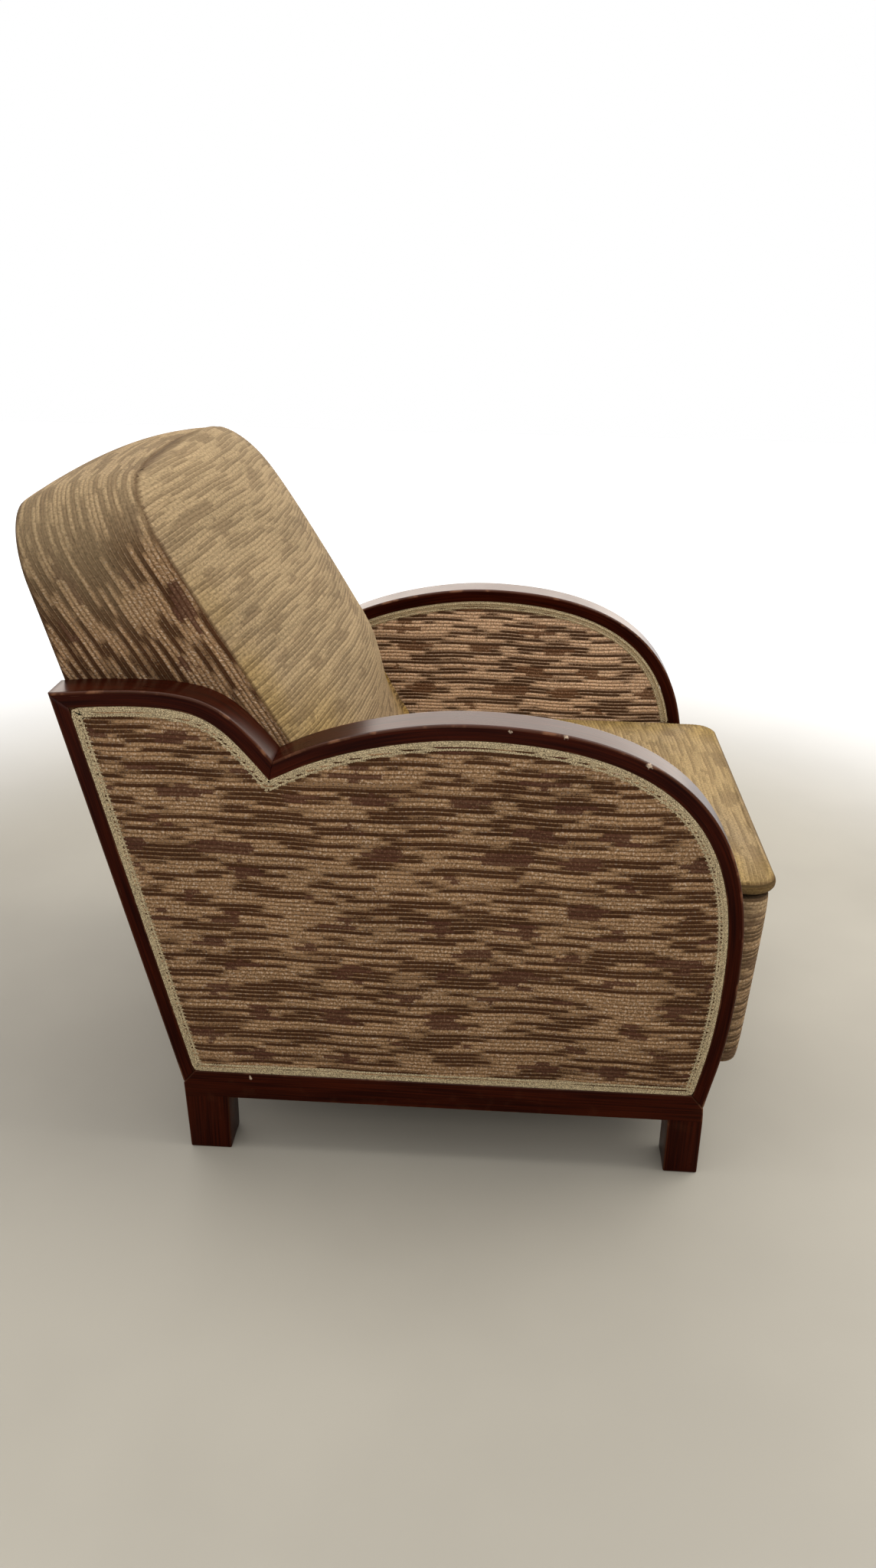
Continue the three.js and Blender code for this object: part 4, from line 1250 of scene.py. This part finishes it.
BACK_PUFF = 10 * MM                     # most that the back's stuffing swells
BACK_SKIRT = [(-2 * MM, 6 * MM), (-13 * MM, 14 * MM), (-14 * MM, 40 * MM)]
BAND_SKIRT = [(0.0, 3 * MM), (-1 * MM, 11 * MM)]
BAND_BULGE = 9 * MM
SHOULDER = (0.62, 0.80)                 # heights between which the sun starts to bleach the back
OUTER_BACK_BULGE = 4 * MM
OUTER_BACK_COLUMN = 10 * MM


def build_back_pad(shape):
    """The crowned pad between the arms, bleached and stained, with soft ribs."""
    outline = rounded_top(shape.half, -shape.SEAT_REACH, shape.top, shape.corner, shape.TOP_CROWN)
    heights = pad_heights("back_pad", outline, shape.on_face, shape.crown, BACK_PUFF, shape.out, 2 * MM)

    def fade(points):
        low = 1 - ease(points[:, 1], 0.0, 0.16)
        return 0.95 - 0.30 * low - 0.12 * ease(np.abs(points[:, 0]), 0.18, 0.28)

    def stain(points):
        across, up = np.abs(points[:, 0]), points[:, 1]
        beside_arm = ease(across, 0.12, 0.25) * (1 - ease(up, 0.06, 0.24))
        by_seam = 0.45 * ease(across, 0.235, 0.275) * (1 - ease(up, 0.30, 0.42))
        return np.maximum(beside_arm, by_seam)

    piece = ribbed_patch("back_pad_upholstered", outline, shape.on_face, "faded_cloth",
                         crowded_columns(shape.half, settings("armchair_cloth").column), BACK_SKIRT, fade,
                         lambda points, distance: heights(points), relief=0.6, stain=stain)
    return place_piece(piece, "faded_cloth", "back_pad")


def build_back_band(shape):
    """The band between the back's front seam and its rear edge, ribbed along its length."""
    front, rear = shape.rulings()
    along = length_along(front)
    tangent = np.gradient(front, along, axis=0)
    ruling = rear - front
    width = np.linalg.norm(np.cross(tangent, ruling), axis=1) / np.linalg.norm(tangent, axis=1)
    normal = unit(np.cross(ruling, tangent))
    middle = np.array([0, front[:, 1].mean(), front[:, 2].mean() - 0.1])
    normal *= np.sign(((front - middle) * normal).sum(axis=1))[:, None]
    outline = np.vstack([np.stack([along, np.zeros_like(along)], axis=1),
                         np.stack([along, width], axis=1)[::-1]])

    def lookup(u, table):
        return np.stack([np.interp(u, along, column) for column in table.T], axis=1)

    def share(points):
        return np.clip(points[:, 1] / np.interp(points[:, 0], along, width), -0.05, 1.05)

    def place(points, out):
        u = points[:, 0]
        return (lookup(u, front) + share(points)[:, None] * lookup(u, ruling)
                + np.asarray(out)[:, None] * unit(lookup(u, normal)))

    def lift(points, distance):
        q = np.clip(share(points), 0, 1)
        to_end = np.minimum(points[:, 0], along[-1] - points[:, 0])
        return BAND_BULGE * 4 * q * (1 - q) * ease(to_end, -0.05, 0.1)

    def fade(points):
        height = place(points, np.zeros(len(points)))[:, 2]
        by_seam = (1 - ease(share(points), 0.1, 0.5)) * (1 - ease(height, 0.74, 0.83))
        return (0.05 + 0.76 * ease(height, *SHOULDER)) * (1 - 0.75 * by_seam)

    columns = even_columns(0, along[-1], settings("armchair_cloth").column)
    piece = ribbed_patch("back_band_upholstered", outline, place, "panel_cloth", columns, BAND_SKIRT, fade,
                         lift)
    return place_piece(piece, "panel_cloth", "back_band")


def build_outer_back(shape):
    """The rear panel, from the post's foot up to the rear edge of the band."""
    lo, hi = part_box("outer_back")
    outline = rounded_top(hi.x, lo.z, hi.z, shape.rear_corner, shape.REAR_CROWN)

    def fade(points):
        return 0.08 + 0.35 * ease(points[:, 1], *SHOULDER)

    def lift(points, distance):
        return OUTER_BACK_BULGE * (1 - np.exp(-distance / 0.05))

    piece = ribbed_patch("outer_back_upholstered", outline, shape.on_rear, "panel_cloth",
                         even_columns(-hi.x, hi.x, OUTER_BACK_COLUMN), [(0.0, 7 * MM)], fade, lift)
    return place_piece(piece, "panel_cloth", "outer_back")


# ---------------------------------------------------------------- seat, apron and sheets
SEAT_DROP = 16 * MM                     # from the pad's highest point down to its seams
SEAT_INSET = 2 * MM
SEAT_CORNER = 32 * MM
SEAT_PUFF = 6 * MM                      # most that the seat's stuffing swells
EDGE_RISE = 9 * MM                      # of the stuffing close to the seams
MIDDLE_RISE = 7 * MM                    # of the springs over that
# The lip's rings, in millimetres out of the pad's outline and down from its edge
LIP_SKIRT = [(1.2, 2.4), (1.9, 5.5), (1.5, 9), (-0.4, 12), (-4, 14.5), (-9, 16.2), (-15.5, 17.2), (-16, 60)]
APRON_CORNER = 26 * MM
APRON_COLUMN = 4.5 * MM
APRON_LEAN = (-9 * MM, 5 * MM)          # forwards at its bottom and at its top
APRON_SKIRT = [(-0.5 * MM, 2 * MM), (-1 * MM, 12 * MM)]
SHEET_STEPS = 28
SHEET_THICKNESS = 0.8 * MM
SHEET_RIPPLE = 0.6 * MM


def build_seat():
    """The crowned pad between the arms with its rolled lip, bleached, with soft ribs."""
    lo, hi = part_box("seat_pad")
    edge_height = hi.z - SEAT_DROP
    half, front, rear = hi.x - SEAT_INSET, -lo.y - SEAT_INSET, -hi.y
    outline = rounded_top(half, rear, front, SEAT_CORNER, 0.0)

    def place(points, out):
        return np.stack([points[:, 0], -points[:, 1], edge_height + np.asarray(out)], axis=1)

    def crown(points):
        distance = edge_distance(points, outline)
        sides = 1 - np.abs(points[:, 0] / half) ** 2.6
        lengthways = (points[:, 1] - (front + rear) / 2) / ((front - rear) / 2)
        ends = 1 - np.abs(lengthways) ** np.where(lengthways > 0, 3, 9)     # fuller towards the back
        return EDGE_RISE * (1 - np.exp(-distance / 0.014)) + MIDDLE_RISE * np.clip(sides * ends, 0, 1)

    def fade(points):
        return np.full(len(points), 0.93)

    def stain(points):
        return 0.25 + 0.45 * ease(np.abs(points[:, 0]), 0.17, 0.27)

    heights = pad_heights("seat_pad", outline, place, crown, SEAT_PUFF, np.array([0.0, 0.0, 1.0]), 1 * MM)
    skirt = [(out * MM, down * MM) for out, down in LIP_SKIRT]
    piece = ribbed_patch("seat_pad_upholstered", outline, place, "faded_cloth",
                         crowded_columns(half, settings("armchair_cloth").column), skirt, fade,
                         lambda points, distance: heights(points), relief=0.5, stain=stain)
    return place_piece(piece, "faded_cloth", "seat_pad")


def build_apron():
    """The cloth below the seat's lip, round both of its corners."""
    lo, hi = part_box("front_apron")
    half, front, rear, radius = hi.x, lo.y, hi.y, APRON_CORNER
    sides = [(half, y) for y in np.linspace(rear, front + radius, 8)[:-1]]
    corner = [(half - radius + radius * math.cos(turn), front + radius - radius * math.sin(turn))
              for turn in np.linspace(0, math.pi / 2, 15)]
    one = np.array([*sides, *corner])
    flat = np.array([(x, front) for x in np.linspace(half - radius, radius - half, 40)[1:-1]])
    path = np.vstack([one, flat, one[::-1] * (-1, 1)])
    along = length_along(path)
    line = np.gradient(path, along, axis=0)
    normal = unit(np.stack([-line[:, 1], line[:, 0]], axis=1))
    if normal[0, 0] < 0:
        normal = -normal
    outline = np.array([(0, lo.z), (along[-1], lo.z), (along[-1], hi.z), (0, hi.z)])

    def place(points, out):
        u, z = points.T
        on_path, outwards = (np.stack([np.interp(u, along, column) for column in table.T], axis=1)
                             for table in (path, normal))
        x, y = (on_path + np.asarray(out)[:, None] * outwards).T
        bottom, top = APRON_LEAN
        forwards = top - (top - bottom) * (1 - (z - lo.z) / (hi.z - lo.z))
        return np.column_stack([x, y - forwards * (rear - y) / (rear - front), z])

    def fade(points):
        return 0.46 + 0.20 * ease(points[:, 1], hi.z - 0.05, hi.z)

    def lift(points, distance):
        return 2.2 * MM * (1 - np.exp(-distance / 0.02))

    piece = ribbed_patch("front_apron_upholstered", outline, place, "panel_cloth",
                         even_columns(0, along[-1], APRON_COLUMN), APRON_SKIRT, fade, lift)
    return place_piece(piece, "panel_cloth", "front_apron")


def build_sheet(node, slot, sag):
    """A tacked sheet that sags a little between the rails."""
    lo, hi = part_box(node)
    row = SHEET_STEPS + 1
    top = (lo.z + hi.z) / 2
    vertices = []
    for j, y in enumerate(np.linspace(lo.y, hi.y, row)):
        for i, x in enumerate(np.linspace(lo.x, hi.x, row)):
            bow = math.sin(math.pi * i / SHEET_STEPS) * math.sin(math.pi * j / SHEET_STEPS)
            ripple = SHEET_RIPPLE * math.sin(0.9 * i + 0.5 * j) * bow
            vertices.append((x, y, top - sag * bow + ripple))
    faces = [(j * row + i, j * row + i + 1, (j + 1) * row + i + 1, (j + 1) * row + i)
             for j in range(SHEET_STEPS) for i in range(SHEET_STEPS)]
    piece = new_object(node + "_sheet", vertices, faces, material(slot))
    thicken = piece.modifiers.new("Thickness", "SOLIDIFY")
    thicken.thickness = SHEET_THICKNESS
    plain_mesh(piece)
    return place_piece(piece, slot, node)


# ---------------------------------------------------------------- operators
class BuildStep:
    """What every operator of this add-on shares."""
    bl_options = {"REGISTER", "UNDO"}


class ARMCHAIR_OT_show_wood(BuildStep, bpy.types.Operator):
    """Build the polished rims, rails and feet of both side frames"""
    bl_idname = "armchair.show_wood"
    bl_label = "Show wood"

    def execute(self, context):
        for name, side in SIDES.items():
            for rim in ("arm_arch", "shoulder_rail", "rear_post"):
                sweep_rim(f"{name}_{rim}", side, panel_centre())
            build_base(name, side)
        return {"FINISHED"}


class ARMCHAIR_OT_side_panels(BuildStep, bpy.types.Operator):
    """Build the padded cloth panels inside and outside both arms"""
    bl_idname = "armchair.side_panels"
    bl_label = "Side panels"

    def execute(self, context):
        for name, side in SIDES.items():
            side_panel(f"{name}_outer_panel", side, 1, 3.5 * MM, 0.04, "panel_cloth")
            # painted light: the inner panels take the lighter inner cloth and more fade for the light they
            # catch
            side_panel(f"{name}_inner_panel", side, -1, 3.0 * MM, 0.16, "inner_cloth_painted_lit")
        return {"FINISHED"}


class ARMCHAIR_OT_gimp(BuildStep, bpy.types.Operator):
    """Lay the double gimp braid along the rims"""
    bl_idname = "armchair.gimp"
    bl_label = "Gimp braid"

    def execute(self, context):
        tree = gimp_tree()
        for name, side in SIDES.items():
            node = f"{name}_outer_braid"
            rim_edge, cloth_edge = cap_loops(node, side)[:2]
            middle = (rim_edge + match_loops(rim_edge, cloth_edge)) / 2
            gimp_braid(node + "_woven", node, smooth_closed(middle, PATH_STEP), True, side, tree)
            node = f"{name}_inner_braid"
            outer, inner = two_runs(cap_loops(node, -side)[0], panel_centre())
            path = smooth_runs([(outer + inner) / 2], PATH_STEP)[0]
            gimp_braid(node + "_woven", node, path, False, -side, tree)
        return {"FINISHED"}


class ARMCHAIR_OT_seat(BuildStep, bpy.types.Operator):
    """Build the sprung seat pad with its front lip"""
    bl_idname = "armchair.seat"
    bl_label = "Seat pad"

    def execute(self, context):
        build_seat()
        return {"FINISHED"}


class ARMCHAIR_OT_apron(BuildStep, bpy.types.Operator):
    """Build the cloth apron below the seat's lip"""
    bl_idname = "armchair.apron"
    bl_label = "Front apron"

    def execute(self, context):
        build_apron()
        return {"FINISHED"}


class ARMCHAIR_OT_back(BuildStep, bpy.types.Operator):
    """Build the crowned back pad, its band and the outer back"""
    bl_idname = "armchair.back"
    bl_label = "Back"

    def execute(self, context):
        shape = BackShape()
        build_back_pad(shape)
        build_back_band(shape)
        build_outer_back(shape)
        return {"FINISHED"}


class ARMCHAIR_OT_tacked_cloths(BuildStep, bpy.types.Operator):
    """Build the spring cover and the dust cover"""
    bl_idname = "armchair.tacked_cloths"
    bl_label = "Tacked cloths"

    def execute(self, context):
        build_sheet("spring_cover", "hessian", 1 * MM)
        build_sheet("dust_cover", "dust_cloth", 5 * MM)
        return {"FINISHED"}


TIMBER = ("batten", "upright", "stretcher", "seat_front_rail", "seat_rear_rail", "seat_left_rail",
          "seat_right_rail", "back_top_rail", "back_bottom_rail")


class ARMCHAIR_OT_carcass(BuildStep, bpy.types.Operator):
    """Finish the hidden timber, webbing and springs"""
    bl_idname = "armchair.carcass"
    bl_label = "Carcass finishes"

    def execute(self, context):
        for name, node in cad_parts.items():
            if "webbing" in name:
                slot = "webbing"
            elif "spring_" in name and "cover" not in name:
                slot = "spring_steel"
            elif any(word in name for word in TIMBER):
                slot = "beech"
            else:
                continue
            for material_slot in node.material_slots:
                material_slot.material = material(slot)
        return {"FINISHED"}


class ARMCHAIR_OT_stage(BuildStep, bpy.types.Operator):
    """Lay the floor, hang the lights and place the camera"""
    bl_idname = "armchair.stage"
    bl_label = "Stage"

    def execute(self, context):
        build_floor()
        build_lights()
        build_camera()
        return {"FINISHED"}


# ---------------------------------------------------------------- stage
FLOOR_REACH = 7.0
FLOOR_FADE = (0.9, 2.6)                 # distances between which the floor turns white
LIT_SPOT = (0, 0, 0.4)                  # what the lamps point at
# Place, size, power in watts and colour of each lamp
LAMPS = {
    "key": ((0.2, -1.9, 2.9), 2.2, 66, (1.0, 0.985, 0.95)),
    "top": ((0.4, 0.5, 3.0), 2.6, 36, (0.97, 0.985, 1.0)),
    "fill": ((-3.0, 0.1, 2.1), 1.8, 22, (1.0, 0.97, 0.93)),
}
SENSOR = 36                             # millimetres high and wide


def build_floor():
    """A pale floor that fades into the white background."""
    pale = settings("armchair_stage").floor_colour
    finish, tree, shader = new_material("floor")
    s = Sums(tree)
    place = add_node(tree, "ShaderNodeTexCoord").outputs["Object"]
    from_middle = add_node(tree, "ShaderNodeVectorMath", [place], operation="LENGTH").outputs[1]
    far = s.step(from_middle, *FLOOR_FADE)
    cloud = s.step(s.noise(place, 4.0, 1.7), 0.35, 0.65)
    near = s.mix(cloud, rgba([c * 0.9 for c in pale]), rgba(pale))
    tree.links.new(s.mix(far, near, (0.86, 0.86, 0.86, 1)), shader.inputs["Base Color"])
    shader.inputs["Emission Color"].default_value = WHITE
    tree.links.new(s.times(far, 0.42), shader.inputs["Emission Strength"])
    shader.inputs["Roughness"].default_value = 0.7
    square = [(x * FLOOR_REACH, y * FLOOR_REACH, 0) for x, y in ((-1, -1), (1, -1), (1, 1), (-1, 1))]
    floor = new_object("floor", square, [(0, 1, 2, 3)], finish, smooth=False)


def area_light(name, place, size, power, colour):
    """A round soft lamp that points at the chair."""
    lamp = bpy.data.lights.new(name, "AREA")
    lamp.shape = "DISK"
    lamp.size = size
    lamp.energy = power
    lamp.color = colour
    holder = add_object(name, lamp)
    holder.location = place
    holder.rotation_euler = (Vector(LIT_SPOT) - Vector(place)).to_track_quat("-Z", "Y").to_euler()


def build_world():
    """Soft light from above, a bright wall in front that the polish mirrors, and a white background."""
    world = bpy.data.worlds.new("studio")
    world.use_nodes = True
    tree = world.node_tree
    s = Sums(tree)
    direction = add_node(tree, "ShaderNodeTexCoord").outputs["Generated"]
    sideways, _, height = s.split(direction)
    wall = s.times(s.step(sideways, 0.2, 0.9), s.step(height, 0.85, 0.2))
    seen = add_node(tree, "ShaderNodeLightPath").outputs["Is Camera Ray"]
    mirrored = add_node(tree, "ShaderNodeLightPath").outputs["Is Glossy Ray"]
    light = s.plus(s.times(s.step(height, -0.1, 0.9), 0.50), s.times(wall, 1.1))
    light = s.plus(light, s.times(s.times(mirrored, wall), 2.4))
    light = s.plus(light, 0.30)
    strength = s.scaled(seen, s.do("SUBTRACT", 1.0, light), light)
    tint = s.mix(mirrored, (0.96, 0.97, 1.0, 1), (1.0, 0.90, 0.81, 1))
    background = tree.nodes["Background"]
    tree.links.new(s.mix(seen, tint, WHITE), background.inputs["Color"])
    tree.links.new(strength, background.inputs["Strength"])
    bpy.context.scene.world = world


def build_lights():
    """Three soft lamps and the world, shown without a film look."""
    for name, values in LAMPS.items():
        area_light(name, *values)
    build_world()
    bpy.context.scene.view_settings.view_transform = "Standard"


def build_camera():
    """A camera above the seat's height that looks down at the chair's front, rolled slightly."""
    stage = settings("armchair_stage")
    camera = add_object("camera", bpy.data.cameras.new("camera"))
    camera.data.sensor_fit = "VERTICAL"
    camera.data.sensor_height = SENSOR
    camera.data.sensor_width = SENSOR
    camera.data.lens = stage.lens
    heading, pitch, roll = stage.camera_turn, stage.camera_pitch, stage.camera_roll
    forward = Vector((math.cos(pitch) * math.cos(heading), math.cos(pitch) * math.sin(heading),
                      -math.sin(pitch)))
    level = Vector((math.sin(heading), -math.cos(heading), 0))
    upright = level.cross(forward)
    right = level * math.cos(roll) + upright * math.sin(roll)
    up = right.cross(forward)
    turned = Matrix((right, up, -forward)).transposed()
    camera.matrix_world = Matrix.Translation(stage.camera_place) @ turned.to_4x4()
    bpy.context.scene.camera = camera


# ---------------------------------------------------------------- sidebar and registration
OPERATORS = (ARMCHAIR_OT_show_wood, ARMCHAIR_OT_side_panels, ARMCHAIR_OT_gimp, ARMCHAIR_OT_seat,
             ARMCHAIR_OT_apron, ARMCHAIR_OT_back, ARMCHAIR_OT_tacked_cloths, ARMCHAIR_OT_carcass,
             ARMCHAIR_OT_stage)
SETTINGS = {"armchair_cloth": ClothSettings, "armchair_wood": WoodSettings, "armchair_gimp": GimpSettings,
            "armchair_back": BackSettings, "armchair_stage": StageSettings}


class ARMCHAIR_PT_build(bpy.types.Panel):
    """Lists the settings and the building steps in order"""
    bl_label = "Armchair"
    bl_idname = "ARMCHAIR_PT_build"
    bl_space_type = "VIEW_3D"
    bl_region_type = "UI"
    bl_category = "Armchair"

    def draw(self, context):
        for name in SETTINGS:
            box = self.layout.box()
            group = getattr(context.scene, name)
            for key in group.__annotations__:
                box.prop(group, key)
        for operator in OPERATORS:
            self.layout.operator(operator.bl_idname)


def register():
    for kind in (*SETTINGS.values(), *OPERATORS, ARMCHAIR_PT_build):
        bpy.utils.register_class(kind)
    for name, kind in SETTINGS.items():
        setattr(bpy.types.Scene, name, PointerProperty(type=kind))


def unregister():
    for name in SETTINGS:
        delattr(bpy.types.Scene, name)
    for kind in reversed((*SETTINGS.values(), *OPERATORS, ARMCHAIR_PT_build)):
        bpy.utils.unregister_class(kind)


def main():
    """Builds the whole chair."""
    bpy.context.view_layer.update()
    register()
    for operator in OPERATORS:
        group, step = operator.bl_idname.split(".")
        getattr(getattr(bpy.ops, group), step)()


if __name__ == "__main__":
    main()
